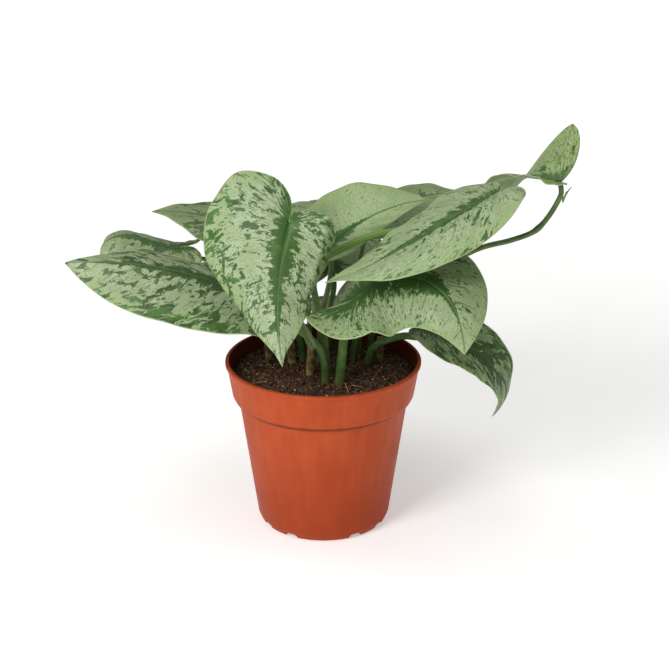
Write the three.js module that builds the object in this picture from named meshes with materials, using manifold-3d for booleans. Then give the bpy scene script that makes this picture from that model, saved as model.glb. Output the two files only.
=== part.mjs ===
// Scindapsus in a plastic grow pot: heart-shaped leaves on rooted stalks, and one vine that climbs to
// the right. Millimetres and degrees, +Z up, the origin under the middle of the pot where it stands.
// The front of the plant looks along -Y.
import * as THREE from 'three';
import { mergeVertices } from 'three/addons/utils/BufferGeometryUtils.js';
import Module from 'manifold-3d';

const wasm = await Module();
wasm.setup();

// Driving dimensions
const gap = 0.3;

const pot = {
  height: 95,
  rimRadius: 54,
  rimRound: 0.5,
  lipDepth: 1.8,
  lipStep: 1,
  lipSlope: 0.7,
  collarHeight: 21,
  collarFootRadius: 50.3,
  collarFootRound: 2,
  collarFootStep: 1,
  neckRadius: 46.7,
  heelRadius: 37.7,
  heelHeight: 9,
  heelBulge: 0.6,
  footRadius: 35.5,
  footRound: 1.5,
  wall: 1.2,
  segments: 48,
};

// Two drainage notches between each pair of wide feet.
const notch = { height: 3, angle: 14, depth: 4, firstCentres: [30, 60], quarters: 4 };

const soil = { top: 88, rooting: 14, edgeWidth: 3, edgeDrop: 1, segments: 36 };

// veinSplit is the share of the margin fed by veins that start at the stalk, veinCrowding packs the
// others towards the base, and veinBow curves each one towards the tip.
const blade = {
  thickness: 0.7,
  rows: 14,
  columns: 3,
  veinSplit: 0.36,
  veinCrowding: 1.12,
  veinBow: 0.14,
  midribSteps: 80,
  bendSteps: 24,
};

// A stalk bends up into its blade from bendDepth below, and ends short of it by the gap and by endRoom
// of its radius, which clears the blade where its halves fold down.
const stalk = { sides: 8, stepLength: 9, bendDepth: 5, bendBack: 1.5, endRoom: 0.45 };

const colours = {
  terracotta: 0xb9542c,
  peat: 0x3a281c,
  silverLeaf: 0x8fae7d,
  darkLeaf: 0x4f7a43,
  stalk: 0x5f8a3c,
  stub: 0xa39a5a,
  husk: 0x8c9a76,
};

// One half of a leaf from the stalk round the lobe to the tip: how far out as a share of the half's
// width, how far along as a share of the leaf's length, how far back as a share of its lobe. flared is
// the way back on a lobe whose inner edge runs straight out from the stalk.
const halfOutline = [
  { out: 0, along: 0, back: 0, flared: 0 },
  { out: 0.11, along: 0, back: 0.66, flared: 0.03 },
  { out: 0.42, along: 0, back: 1, flared: 0.27 },
  { out: 0.8, along: 0, back: 0.62, flared: 0.9 },
  { out: 0.98, along: 0.08, back: 0, flared: 0.5 },
  { out: 0.97, along: 0.3, back: 0, flared: 0 },
  { out: 0.78, along: 0.55, back: 0, flared: 0 },
  { out: 0.48, along: 0.76, back: 0, flared: 0 },
  { out: 0.17, along: 0.91, back: 0, flared: 0 },
  { out: 0, along: 1, back: 0, flared: 0 },
];

// Leaves. base: where the stalk meets the blade. heading: compass of the midrib, 0 to the right and 90
// to the back; turn: how much it swings by the tip. pitch: its climb at base, middle and tip. roll and
// twist tip the blade's left side down. A half has a width, a lobe behind the stalk, a fold up from the
// midrib at base, middle and tip, and a curl down towards its margin. fullness under 1 keeps it broad
// towards the tip, and flare is the share of the flared lobe in its outline.
const leaves = [
  {
    name: 'front',
    base: [-17, -39, 186], heading: 250, turn: -30, pitch: [-50, -85, -100], length: 79, roll: 10, twist: 0,
    left: {
      width: 31, lobe: 8, fold: [0, -45, -60], curl: -20, fullness: 1.3,
      crease: { at: 0.62, width: 0.1, angle: -45 },
    },
    right: { width: 44, lobe: 28, fold: [15, 5, 0], curl: -25, fullness: 1.35, flare: 0.3 },
    stalk: { radius: 1.8, path: [[-9, 12], [-15, 8, 112], [-23, -4, 150], [-21, -22, 176]] },
    colour: colours.darkLeaf,
  },
  {
    name: 'left',
    base: [-42, -8, 136], heading: 200, turn: -32, pitch: [30, 12, -10], length: 100, roll: 28, twist: 0,
    left: { width: 34, lobe: 14, fold: [8, -12, -40], curl: -15, fullness: 0.7 },
    right: { width: 28, lobe: 18, fold: [-18, -20, -18], curl: -20 },
    stalk: { radius: 2.2, path: [[2.2, -19], [-2, -18, 108], [-20, -6, 118]] },
    colour: colours.darkLeaf,
  },
  {
    name: 'left_rear',
    base: [-80, 32, 149], heading: 182, turn: 0, pitch: [-8, 12, -110], length: 54, roll: 0, twist: 0,
    left: { width: 24, lobe: 12, fold: [-28, -50, -20], curl: -20 },
    right: { width: 22, lobe: 12, fold: [0, 0, 0], curl: -25 },
    stalk: { radius: 1.6, path: [[-18, 21], [-24, 24, 110], [-50, 30, 138]] },
    colour: colours.darkLeaf,
  },
  {
    name: 'upper_left',
    base: [-22, 30, 152], heading: 168, turn: 0, pitch: [20, 12, -10], length: 78, roll: 0, twist: 0,
    left: { width: 27, lobe: 14, fold: [0, -10, -5], curl: -20 },
    right: { width: 26, lobe: 16, fold: [15, 15, 10], curl: -20 },
    stalk: { radius: 1.6, path: [[-27, 28], [-26, 29, 110], [-20, 30, 135]] },
    colour: colours.darkLeaf,
  },
  {
    name: 'top',
    base: [2, -5, 160], heading: 18, turn: 6, pitch: [42, 20, -5], length: 64, roll: 0, twist: 0,
    left: { width: 32, lobe: 18, fold: [32, 32, 25], curl: -20 },
    right: { width: 11, lobe: 4, fold: [-18, -50, -30], curl: -20 },
    stalk: { radius: 1.8, path: [[-3, 8], [-1, 6, 115], [4, 0, 142]] },
    colour: colours.silverLeaf,
  },
  {
    name: 'top_rear',
    base: [25, 38, 163], heading: 22, turn: 0, pitch: [25, 8, -15], length: 64, roll: 0, twist: 0,
    left: { width: 26, lobe: 16, fold: [10, 10, 5], curl: -20 },
    right: { width: 24, lobe: 14, fold: [0, 0, 0], curl: -20 },
    stalk: { radius: 1.7, path: [[20, 22], [20, 24, 112], [21, 31, 142]] },
    colour: colours.darkLeaf,
  },
  {
    name: 'upper_right',
    base: [87, -30, 196], heading: 212, turn: -42, pitch: [-13, -28, -20], length: 98, roll: 0, twist: 0,
    left: { width: 31, lobe: 8, fold: [46, 12, 8], curl: -75 },
    right: { width: 30, lobe: 12, fold: [8, 12, 14], curl: -25 },
    stalk: { radius: 2.1, path: [[3, -6], [0, -8, 115], [-5, -16, 144], [-3, -23, 158], [10, -22, 166],
      [28, -17, 172], [46, -16, 175], [66, -16, 178], [82, -24, 184]] },
    colour: colours.silverLeaf,
  },
  {
    name: 'right',
    base: [20, -35, 146], heading: 350, turn: -60, pitch: [45, -15, -85], length: 86, roll: 0, twist: 0,
    left: { width: 38, lobe: 20, fold: [20, 20, 10], curl: -25 },
    right: { width: 34, lobe: 31, fold: [-16, -44, -20], curl: -20, lobeBend: 34, fullness: 0.88 },
    stalk: { radius: 2.8, path: [[8, -19], [11, -21, 112], [13, -29, 130]] },
    colour: colours.silverLeaf,
  },
  {
    name: 'lower_right',
    base: [56.5, 12, 107.5], heading: 348, turn: 22, pitch: [-15, -45, -130], length: 77, roll: 10, twist: -38,
    left: { width: 24, lobe: 13, fold: [40, 32, 20], curl: -20 },
    right: { width: 17, lobe: 8, fold: [-10, -20, 0], curl: -20 },
    stalk: { radius: 2.4, path: [[23, 7], [28, 8, 98], [44, 10, 104]] },
    colour: colours.darkLeaf,
  },
  {
    name: 'vine_tip',
    base: [126.5, 5, 194], heading: 172, turn: 24, pitch: [10, 0, -40], length: 46, roll: 0, twist: 0,
    left: { width: 14, lobe: 3, fold: [14, 24, 60], curl: -10 },
    right: { width: 35, lobe: 6, fold: [66, -34, -45], curl: -15, fullness: 1.9, flare: 1 },
    colour: colours.silverLeaf,
  },
  {
    name: 'centre',
    base: [-9, 21, 160], heading: 75, turn: 0, pitch: [30, 5, -35], length: 52, roll: 0, twist: 0,
    left: { width: 22, lobe: 12, fold: [5, 5, 5], curl: -20 },
    right: { width: 20, lobe: 10, fold: [5, 5, 5], curl: -20 },
    stalk: { radius: 1.5, path: [[-7, 24], [-8, 23, 112], [-9, 21, 140]] },
    colour: colours.darkLeaf,
  },
  {
    name: 'back',
    base: [5, 54, 132], heading: 90, turn: 8, pitch: [30, 0, -50], length: 76, roll: 0, twist: 0,
    left: { width: 30, lobe: 16, fold: [5, 5, 0], curl: -25 },
    right: { width: 30, lobe: 16, fold: [5, 5, 0], curl: -25 },
    stalk: { radius: 2, path: [[3, 32], [3, 36, 105], [6, 48, 120]] },
    colour: colours.silverLeaf,
  },
  {
    name: 'back_left',
    base: [-32, 50, 122], heading: 132, turn: 12, pitch: [25, -10, -60], length: 74, roll: 0, twist: 0,
    left: { width: 28, lobe: 14, fold: [0, 0, 0], curl: -25 },
    right: { width: 28, lobe: 14, fold: [5, 5, 5], curl: -25 },
    stalk: { radius: 1.9, path: [[-12, 36], [-15, 39, 101], [-26, 46, 112]] },
    colour: colours.darkLeaf,
  },
  {
    name: 'back_right',
    base: [40, 44, 115], heading: 56, turn: -4, pitch: [15, -15, -65], length: 66, roll: 0, twist: 0,
    left: { width: 28, lobe: 15, fold: [5, 5, 5], curl: -25 },
    right: { width: 27, lobe: 14, fold: [0, 0, 0], curl: -25 },
    stalk: { radius: 1.9, path: [[26, 27], [28, 30, 98], [36, 39, 106]] },
    colour: colours.silverLeaf,
  },
  {
    name: 'back_low',
    base: [14, 64, 107], heading: 88, turn: 0, pitch: [-10, -65, -95], length: 64, roll: 0, twist: 0,
    left: { width: 25, lobe: 9, fold: [5, 5, 5], curl: -20 },
    right: { width: 25, lobe: 9, fold: [5, 5, 5], curl: -20 },
    stalk: { radius: 1.8, path: [[13, 38], [13, 44, 100], [14, 56, 105]] },
    colour: colours.darkLeaf,
  },
];

// Points along the rooted vine that carries the last leaf, and its thickness.
const vine = {
  radius: 1.5,
  path: [[15, 9], [19, 10, 106], [34, 10, 127], [60, 9, 144], [86, 8, 156.5], [102, 6, 161.5],
    [114, 5, 167], [121.5, 5, 176], [127, 5.5, 187]],
};

// Old cut stalks that stand in the mix: foot, top and radius.
const stubs = [
  { foot: [-30, 18], top: [-31, 17, 99], radius: 2.4 },
  { foot: [-17, 9], top: [-18, 9, 103], radius: 2.6 },
  { foot: [31, 16], top: [32, 16, 101], radius: 2.3 },
  { foot: [-8, -6], top: [-6, -9, 110], radius: 2.4 },
];

// Dry bud sheaths: thin pointed husks beside the stalks.
const husks = [
  {
    name: 'front',
    base: [-5, -27, 112], heading: 140, pitch: [60, 55, 50], length: 20, width: 2.6, roll: 60,
  },
  {
    name: 'vine',
    base: [128.7, 6.2, 183], heading: 20, pitch: [75, 60, 50], length: 9, width: 1.8, roll: 40,
  },
];

const radians = THREE.MathUtils.degToRad;

// A value given at base, middle and tip, read at a share of the length.
function along(values, share) {
  const s = THREE.MathUtils.clamp(share, 0, 1);
  const [base, middle, tip] = values;
  return base * (1 - s) * (1 - 2 * s) + 4 * middle * s * (1 - s) + tip * s * (2 * s - 1);
}

// The midrib and the blade's own axes along it.
function growMidrib(leaf) {
  const steps = blade.midribSteps;
  const frames = [];
  const point = new THREE.Vector3(...leaf.base);
  let before = null;
  for (let i = 0; i <= steps; i += 1) {
    const share = i / steps;
    const heading = radians(leaf.heading + leaf.turn * share);
    const pitch = radians(along(leaf.pitch, share));
    const roll = radians(leaf.roll + leaf.twist * share);
    const forward = new THREE.Vector3(
      Math.cos(pitch) * Math.cos(heading), Math.cos(pitch) * Math.sin(heading), Math.sin(pitch));
    const level = new THREE.Vector3(-Math.sin(heading), Math.cos(heading), 0);
    const rise = new THREE.Vector3().crossVectors(forward, level);
    const left = level.clone().multiplyScalar(Math.cos(roll)).addScaledVector(rise, -Math.sin(roll));
    const up = rise.clone().multiplyScalar(Math.cos(roll)).addScaledVector(level, Math.sin(roll));
    if (before) {
      point.addScaledVector(before, leaf.length / steps / 2);
      point.addScaledVector(forward, leaf.length / steps / 2);
    }
    frames.push({ point: point.clone(), forward, left, up });
    before = forward;
  }
  return frames;
}

function frameAt(frames, share) {
  const place = THREE.MathUtils.clamp(share, 0, 1) * (frames.length - 1);
  const i = Math.min(Math.floor(place), frames.length - 2);
  const mix = (key) => frames[i][key].clone().lerp(frames[i + 1][key], place - i);
  return { point: mix('point'), forward: mix('forward'), left: mix('left'), up: mix('up') };
}

// Rows follow the side veins from the midrib to the margin: x out from the midrib, y along it.
function flatHalf(half, length) {
  const { width, lobe, fullness = 1, flare = 0 } = half;
  const margin = new THREE.SplineCurve(halfOutline.map(({ out, along: ahead, back, flared }) => {
    const behind = THREE.MathUtils.lerp(back, flared, flare) * lobe;
    return new THREE.Vector2(out ** fullness * width, ahead * length - behind);
  }));
  const rows = [];
  for (let i = 0; i <= blade.rows; i += 1) {
    const t = i / blade.rows;
    const end = margin.getPointAt(t);
    const start = Math.max(0, (t - blade.veinSplit) / (1 - blade.veinSplit)) ** blade.veinCrowding * length;
    const bow = blade.veinBow * Math.min(1, t * 4, (1 - t) * 6);
    const middle = new THREE.Vector2(
      end.x / 2 + (end.y - start) * bow, (start + end.y) / 2 - end.x * bow);
    const row = [];
    for (let j = 0; j <= blade.columns; j += 1) {
      const q = j / blade.columns;
      row.push({
        x: Math.max(0, 2 * q * (1 - q) * middle.x + q * q * end.x),
        y: (1 - q) * (1 - q) * start + 2 * q * (1 - q) * middle.y + q * q * end.y,
      });
    }
    rows.push(row);
  }
  return rows;
}

const flatHalfCrease = { at: 1, width: 1, angle: 0 };

// Bends a flat point of one half round its midrib.
function bendPoint(frames, leaf, half, side, x, y) {
  const share = y / leaf.length;
  const frame = frameAt(frames, share);
  const back = Math.min(y, 0);
  const lobeTurn = radians(half.lobeBend ?? 0) * Math.min(1, -back / half.lobe);
  const fold = along(half.fold, share);
  const { at: creaseAt, width: creaseWidth, angle: creaseAngle } = half.crease ?? flatHalfCrease;
  const step = x / blade.bendSteps;
  let out = 0;
  let rise = 0;
  for (let k = 0; k < blade.bendSteps; k += 1) {
    const reach = (k + 0.5) * step / half.width;
    const creased = THREE.MathUtils.clamp((reach - creaseAt) / creaseWidth + 0.5, 0, 1);
    const angle = radians(fold + half.curl * reach + creaseAngle * creased);
    out += Math.cos(angle) * step;
    rise += Math.sin(angle) * step;
  }
  return frame.point
    .addScaledVector(frame.forward, back * Math.cos(lobeTurn))
    .addScaledVector(frame.up, rise - back * Math.sin(lobeTurn))
    .addScaledVector(frame.left, out * side);
}

// A thin closed solid from a surface whose margin is one loop.
function thicken(surface, thickness) {
  const sheet = mergeVertices(surface, 1e-3);
  sheet.computeVertexNormals();
  const place = sheet.getAttribute('position');
  const normal = sheet.getAttribute('normal');
  const count = place.count;
  const positions = new Float32Array(count * 6);
  for (let i = 0; i < count; i += 1) {
    for (let axis = 0; axis < 3; axis += 1) {
      const middle = place.getComponent(i, axis);
      const offset = normal.getComponent(i, axis) * thickness / 2;
      positions[i * 3 + axis] = middle + offset;
      positions[(count + i) * 3 + axis] = middle - offset;
    }
  }
  const faces = [];
  const edges = new Map();
  const index = sheet.getIndex().array;
  for (let i = 0; i < index.length; i += 3) {
    const corners = [index[i], index[i + 1], index[i + 2]];
    if (new Set(corners).size < 3) continue;
    const [a, b, c] = corners;
    faces.push(a, b, c, count + c, count + b, count + a);
    for (const [from, to] of [[a, b], [b, c], [c, a]]) {
      if (edges.has(`${to} ${from}`)) edges.delete(`${to} ${from}`);
      else edges.set(`${from} ${to}`, [from, to]);
    }
  }
  for (const [from, to] of edges.values()) {
    faces.push(from, count + from, count + to, from, count + to, to);
  }
  const solid = new THREE.BufferGeometry();
  solid.setAttribute('position', new THREE.BufferAttribute(positions, 3));
  solid.setIndex(faces);
  return solid;
}

function leafBlade(leaf) {
  const frames = growMidrib(leaf);
  const positions = [];
  const faces = [];
  for (const [half, side] of [[leaf.left, 1], [leaf.right, -1]]) {
    const first = positions.length / 3;
    const width = blade.columns + 1;
    for (const row of flatHalf(half, leaf.length)) {
      for (const { x, y } of row) positions.push(...bendPoint(frames, leaf, half, side, x, y).toArray());
    }
    for (let i = 0; i < blade.rows; i += 1) {
      for (let j = 0; j < blade.columns; j += 1) {
        const a = first + i * width + j;
        const b = a + 1;
        const c = a + width;
        const d = c + 1;
        if (side > 0) faces.push(a, c, b, b, c, d);
        else faces.push(a, b, c, b, d, c);
      }
    }
  }
  const surface = new THREE.BufferGeometry();
  surface.setAttribute('position', new THREE.Float32BufferAttribute(positions, 3));
  surface.setIndex(faces);
  return thicken(surface, blade.thickness);
}

// A husk is a narrow blade with no lobes, folded along its middle.
function huskLeaf(husk) {
  const half = { width: husk.width, lobe: 0.5, fold: [25, 25, 20], curl: 0 };
  return { ...husk, turn: 0, twist: 0, left: half, right: half };
}

// A round rod along points, cut square at both ends.
function rod(points, radius) {
  const path = new THREE.CatmullRomCurve3(points, false, 'centripetal');
  const ring = [];
  for (let i = 0; i < stalk.sides; i += 1) {
    const angle = (i / stalk.sides) * Math.PI * 2;
    ring.push(new THREE.Vector2(Math.cos(angle) * radius, Math.sin(angle) * radius));
  }
  const steps = Math.ceil(path.getLength() / stalk.stepLength);
  const shape = new THREE.Shape(ring);
  const solid = new THREE.ExtrudeGeometry(shape, { steps, bevelEnabled: false, extrudePath: path });
  solid.deleteAttribute('normal');
  solid.deleteAttribute('uv');
  return mergeVertices(solid, 1e-3);
}

// Points from the rooted foot in the mix up to the end of a stalk.
function rootedPath([foot, ...rest]) {
  return [new THREE.Vector3(...foot, soil.top - soil.rooting), ...rest.map((p) => new THREE.Vector3(...p))];
}

// A stalk meets its blade from below, a gap short of it.
function stalkPath(leaf, { path, radius }) {
  const { forward, up } = growMidrib(leaf)[0];
  const base = new THREE.Vector3(...leaf.base);
  const reach = blade.thickness / 2 + gap + radius * stalk.endRoom;
  const bend = base.clone().addScaledVector(up, -stalk.bendDepth).addScaledVector(forward, -stalk.bendBack);
  return [...rootedPath(path), bend, base.clone().addScaledVector(up, -reach)];
}

function toManifold(geometry) {
  const bare = geometry.clone();
  bare.deleteAttribute('normal');
  bare.deleteAttribute('uv');
  const merged = mergeVertices(bare, 1e-4);
  const vertProperties = new Float32Array(merged.getAttribute('position').array);
  const triVerts = new Uint32Array(merged.getIndex().array);
  return new wasm.Manifold(new wasm.Mesh({ numProp: 3, vertProperties, triVerts }));
}

function fromManifold(solid) {
  const mesh = solid.getMesh();
  const geometry = new THREE.BufferGeometry();
  geometry.setAttribute('position', new THREE.BufferAttribute(mesh.vertProperties, 3));
  geometry.setIndex(new THREE.BufferAttribute(mesh.triVerts, 1));
  return geometry;
}

// A body turned about Z from a closed profile of [radius, height] points.
function turned(profile, segments) {
  const lathe = new THREE.LatheGeometry(profile.map(([r, z]) => new THREE.Vector2(r, z)), segments);
  lathe.rotateX(Math.PI / 2);
  return lathe;
}

const neckHeight = pot.height - pot.collarHeight;
const collarFoot = neckHeight + pot.collarFootRound + pot.collarFootStep;

function potOutside() {
  return [
    [0, 0],
    [pot.footRadius - pot.footRound, 0],
    [pot.footRadius, pot.footRound / 2],
    [pot.heelRadius - pot.heelBulge, pot.heelHeight / 2],
    [pot.heelRadius, pot.heelHeight],
    [pot.neckRadius, neckHeight - pot.collarFootRound],
    [pot.collarFootRadius - pot.collarFootStep, neckHeight],
    [pot.collarFootRadius, neckHeight + pot.collarFootRound],
    [pot.rimRadius - pot.lipStep, pot.height - pot.lipDepth - pot.lipSlope],
    [pot.rimRadius, pot.height - pot.lipDepth],
    [pot.rimRadius, pot.height - pot.rimRound],
    [pot.rimRadius - pot.rimRound, pot.height],
  ];
}

function potInside() {
  return [
    [pot.rimRadius - pot.lipStep - pot.wall, pot.height],
    [pot.collarFootRadius - pot.wall, collarFoot],
    [pot.neckRadius - pot.wall, neckHeight],
    [pot.heelRadius - pot.wall, pot.heelHeight],
    [pot.footRadius - pot.wall, pot.wall + pot.footRound],
    [pot.footRadius - pot.wall - pot.footRound, pot.wall],
    [0, pot.wall],
  ];
}

// The notch cutters are boxes across the foot of the wall.
function potSolid() {
  let body = toManifold(turned([...potOutside(), ...potInside()], pot.segments));
  const mouth = 2 * pot.footRadius * Math.sin(radians(notch.angle / 2));
  for (let quarter = 0; quarter < notch.quarters; quarter += 1) {
    for (const centre of notch.firstCentres) {
      const cutter = new THREE.BoxGeometry(notch.depth * 2, mouth, notch.height * 2);
      cutter.translate(pot.footRadius, 0, 0);
      cutter.rotateZ(radians(centre + quarter * 90));
      body = body.subtract(toManifold(cutter));
    }
  }
  return fromManifold(body);
}

// Inner radius of the pot at a height in its collar.
function collarInside(height) {
  const share = (height - collarFoot) / (pot.height - collarFoot);
  const rim = pot.rimRadius - pot.lipStep - pot.wall;
  return THREE.MathUtils.lerp(pot.collarFootRadius - pot.wall, rim, share);
}

// The mix fills the pot, its edge a little sunk, with a socket round each rooted stalk.
function soilSolid(rods) {
  const inside = potInside().slice(1).reverse().map(([r, z]) => [Math.max(0, r - gap), z]);
  inside[0] = [0, pot.wall + gap];
  inside[1][1] = pot.wall + gap;
  const edge = collarInside(soil.top) - gap;
  let body = toManifold(turned([
    ...inside,
    [edge, soil.top - soil.edgeDrop],
    [edge - soil.edgeWidth, soil.top - soil.edgeDrop / 2],
    [edge / 2, soil.top],
    [0, soil.top],
  ], soil.segments));
  for (const { points, radius } of rods) {
    const socket = points.slice(0, 3).map((p) => p.clone());
    socket[0].z -= gap;
    body = body.subtract(toManifold(rod(socket, radius + gap)));
  }
  return fromManifold(body);
}

const group = new THREE.Group();

function add(name, geometry, colour, roughness) {
  const solid = geometry.index ? geometry : mergeVertices(geometry, 1e-4);
  const material = new THREE.MeshStandardMaterial({ color: colour, roughness, metalness: 0 });
  const mesh = new THREE.Mesh(solid, material);
  mesh.name = name;
  group.add(mesh);
}

const stalks = leaves.filter((leaf) => leaf.stalk).map((leaf) => ({
  name: `stalk_${leaf.name}`,
  points: stalkPath(leaf, leaf.stalk),
  radius: leaf.stalk.radius,
}));
const vineLeaf = leaves.find((leaf) => leaf.name === 'vine_tip');
const vineRod = { name: 'vine', points: stalkPath(vineLeaf, vine), radius: vine.radius };
const stubRods = stubs.map((stub, i) => ({
  name: `stub_${i + 1}`,
  points: rootedPath([stub.foot, stub.top]),
  radius: stub.radius,
}));

add('pot', potSolid(), colours.terracotta, 0.5);
add('potting_mix', soilSolid([...stalks, vineRod, ...stubRods]), colours.peat, 0.95);
for (const leaf of leaves) add(`leaf_${leaf.name}`, leafBlade(leaf), leaf.colour, 0.45);
for (const husk of husks) add(`husk_${husk.name}`, leafBlade(huskLeaf(husk)), colours.husk, 0.8);
for (const { name, points, radius } of [...stalks, vineRod]) {
  add(name, rod(points, radius), colours.stalk, 0.45);
}
for (const { name, points, radius } of stubRods) add(name, rod(points, radius), colours.stub, 0.7);

export default group;
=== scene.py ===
import math
import random

import bmesh
import bpy
import numpy as np
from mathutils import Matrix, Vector, noise


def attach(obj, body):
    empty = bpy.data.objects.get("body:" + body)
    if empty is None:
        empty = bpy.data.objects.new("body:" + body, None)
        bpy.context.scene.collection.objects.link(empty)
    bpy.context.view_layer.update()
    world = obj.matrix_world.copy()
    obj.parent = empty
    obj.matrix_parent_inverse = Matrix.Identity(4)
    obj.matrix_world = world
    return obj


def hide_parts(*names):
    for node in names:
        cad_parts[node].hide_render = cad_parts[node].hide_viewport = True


# A silver-leaved scindapsus in a plastic grow pot. Sizes are in millimetres and angles in degrees;
# makePiece turns them to metres. +Z is up and the front of the plant looks along -Y.
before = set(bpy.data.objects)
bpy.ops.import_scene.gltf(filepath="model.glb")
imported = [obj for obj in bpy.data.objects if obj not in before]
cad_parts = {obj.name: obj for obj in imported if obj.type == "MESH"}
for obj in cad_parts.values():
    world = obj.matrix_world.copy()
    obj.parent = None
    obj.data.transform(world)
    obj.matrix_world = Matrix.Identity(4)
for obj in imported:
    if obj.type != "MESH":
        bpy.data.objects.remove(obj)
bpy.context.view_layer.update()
millimetre = 0.001
uvUnit = 100  # mm in one unit of a piece's own pattern maps


def toLinear(hexColour):
    channels = [int(hexColour[i:i + 2], 16) / 255 for i in (1, 3, 5)]
    return [c / 12.92 if c <= 0.04045 else ((c + 0.055) / 1.055) ** 2.4 for c in channels] + [1]


def mix(a, b, share):
    return a + (b - a) * share


def patternScale(size):
    return uvUnit / size  # noise cells of that many mm on a pattern map


bodyScale = (1 / (uvUnit * millimetre),) * 3  # from metres on the body to units of a pattern map


def addNode(tree, kind, inputs, output=0, **settings):
    # Adds a node, sets or links its inputs and gives back one of its outputs. Text is a hex colour.
    node = tree.nodes.new("ShaderNode" + kind)
    for name, value in settings.items():
        setattr(node, name, value)
    for name, value in inputs.items():
        if isinstance(value, bpy.types.NodeSocket):
            tree.links.new(value, node.inputs[name])
        else:
            node.inputs[name].default_value = toLinear(value) if isinstance(value, str) else value
    return node.outputs[output]


def newMaterial(name):
    material = bpy.data.materials.new(name)
    material.use_nodes = True
    tree = material.node_tree
    shader = tree.nodes["Principled BSDF"]
    return material, tree, shader


smooth = {"interpolation_type": "SMOOTHSTEP"}  # makes a Map Range node ease in and out
ofColour = {"data_type": "RGBA"}  # a Mix node for colours: factor 0, colours 6 and 7, result 2


def paintOver(tree, under, paint, mask, low, high, thin=0, thick=1):
    # Lays a colour over another, from thin to thick as the mask goes from low to high.
    share = addNode(tree, "MapRange", {
        "Value": mask, "From Min": low, "From Max": high, "To Min": thin, "To Max": thick}, **smooth)
    return addNode(tree, "Mix", {0: share, 6: under, 7: paint}, 2, **ofColour)


# A closed mesh from millimetres. A piece given a slot rides the one body; node names the CAD piece
# that it stands in for.
def makePiece(name, vertices, faces, materials, node=None, slot=None, uvMaps=None):
    mesh = bpy.data.meshes.new(name)
    mesh.from_pydata([tuple(v) for v in np.asarray(vertices, float) * millimetre], [], faces)
    for mapName, corners in (uvMaps or {}).items():
        layer = mesh.uv_layers.new(name=mapName)
        layer.data.foreach_set("uv", np.asarray(corners, np.float32).ravel())
    for material in materials:
        mesh.materials.append(material)
    shell = bmesh.new()
    shell.from_mesh(mesh)
    bmesh.ops.remove_doubles(shell, verts=shell.verts, dist=0.001 * millimetre)
    shell.to_mesh(mesh)
    shell.free()
    mesh.polygons.foreach_set("use_smooth", [True] * len(mesh.polygons))
    piece = bpy.data.objects.new(name, mesh)
    bpy.context.scene.collection.objects.link(piece)
    if slot:
        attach(piece, "root")
    if node:
        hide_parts(node)
    return piece


def cornerValues(values, faces):
    # One value for each corner of each face, as a pattern map wants them.
    return [values[i] for face in faces for i in face]


def splineThrough(points, perSpan):
    # A smooth curve through all the points.
    p = np.array(points, float)
    p = np.vstack([p[:1], p, p[-1:]])
    t = (np.arange(perSpan) / perSpan)[:, None]
    spans = []
    for a, b, c, d in zip(p[:-3], p[1:-2], p[2:-1], p[3:]):
        square = (2 * a - 5 * b + 4 * c - d) * t ** 2
        cube = (3 * b - a - 3 * c + d) * t ** 3
        spans.append((2 * b + (c - a) * t + square + cube) / 2)
    return np.vstack(spans + [p[-1:]])


def evenPoints(curve, count):
    # The same curve as evenly spaced points, and its length.
    steps = np.linalg.norm(np.diff(curve, axis=0), axis=1)
    reached = np.concatenate([[0], np.cumsum(steps)])
    at = np.linspace(0, reached[-1], count)
    even = [np.interp(at, reached, curve[:, k]) for k in range(curve.shape[1])]
    return np.stack(even, 1), reached[-1]


def curveThrough(points, spacing):
    # A centripetal curve, which doesn't swing wide where its points crowd.
    p = [np.array(point, float) for point in points]
    p = [2 * p[0] - p[1]] + p + [2 * p[-1] - p[-2]]
    dense = []
    for a, b, c, d in zip(p[:-3], p[1:-2], p[2:-1], p[3:]):
        gaps = [max(np.linalg.norm(v - u), 1e-6) ** 0.5 for u, v in ((a, b), (b, c), (c, d))]
        knots = np.cumsum([0] + gaps)
        for t in np.linspace(knots[1], knots[2], 24, endpoint=False):
            def between(u, v, i, j):
                return u + (v - u) * (t - knots[i]) / (knots[j] - knots[i])
            ab, bc, cd = between(a, b, 0, 1), between(b, c, 1, 2), between(c, d, 2, 3)
            dense.append(between(between(ab, bc, 0, 2), between(bc, cd, 1, 3), 1, 2))
    dense = np.array(dense + [p[-2]])
    length = np.linalg.norm(np.diff(dense, axis=0), axis=1).sum()
    return evenPoints(dense, max(3, round(length / spacing) + 1))[0]


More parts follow.
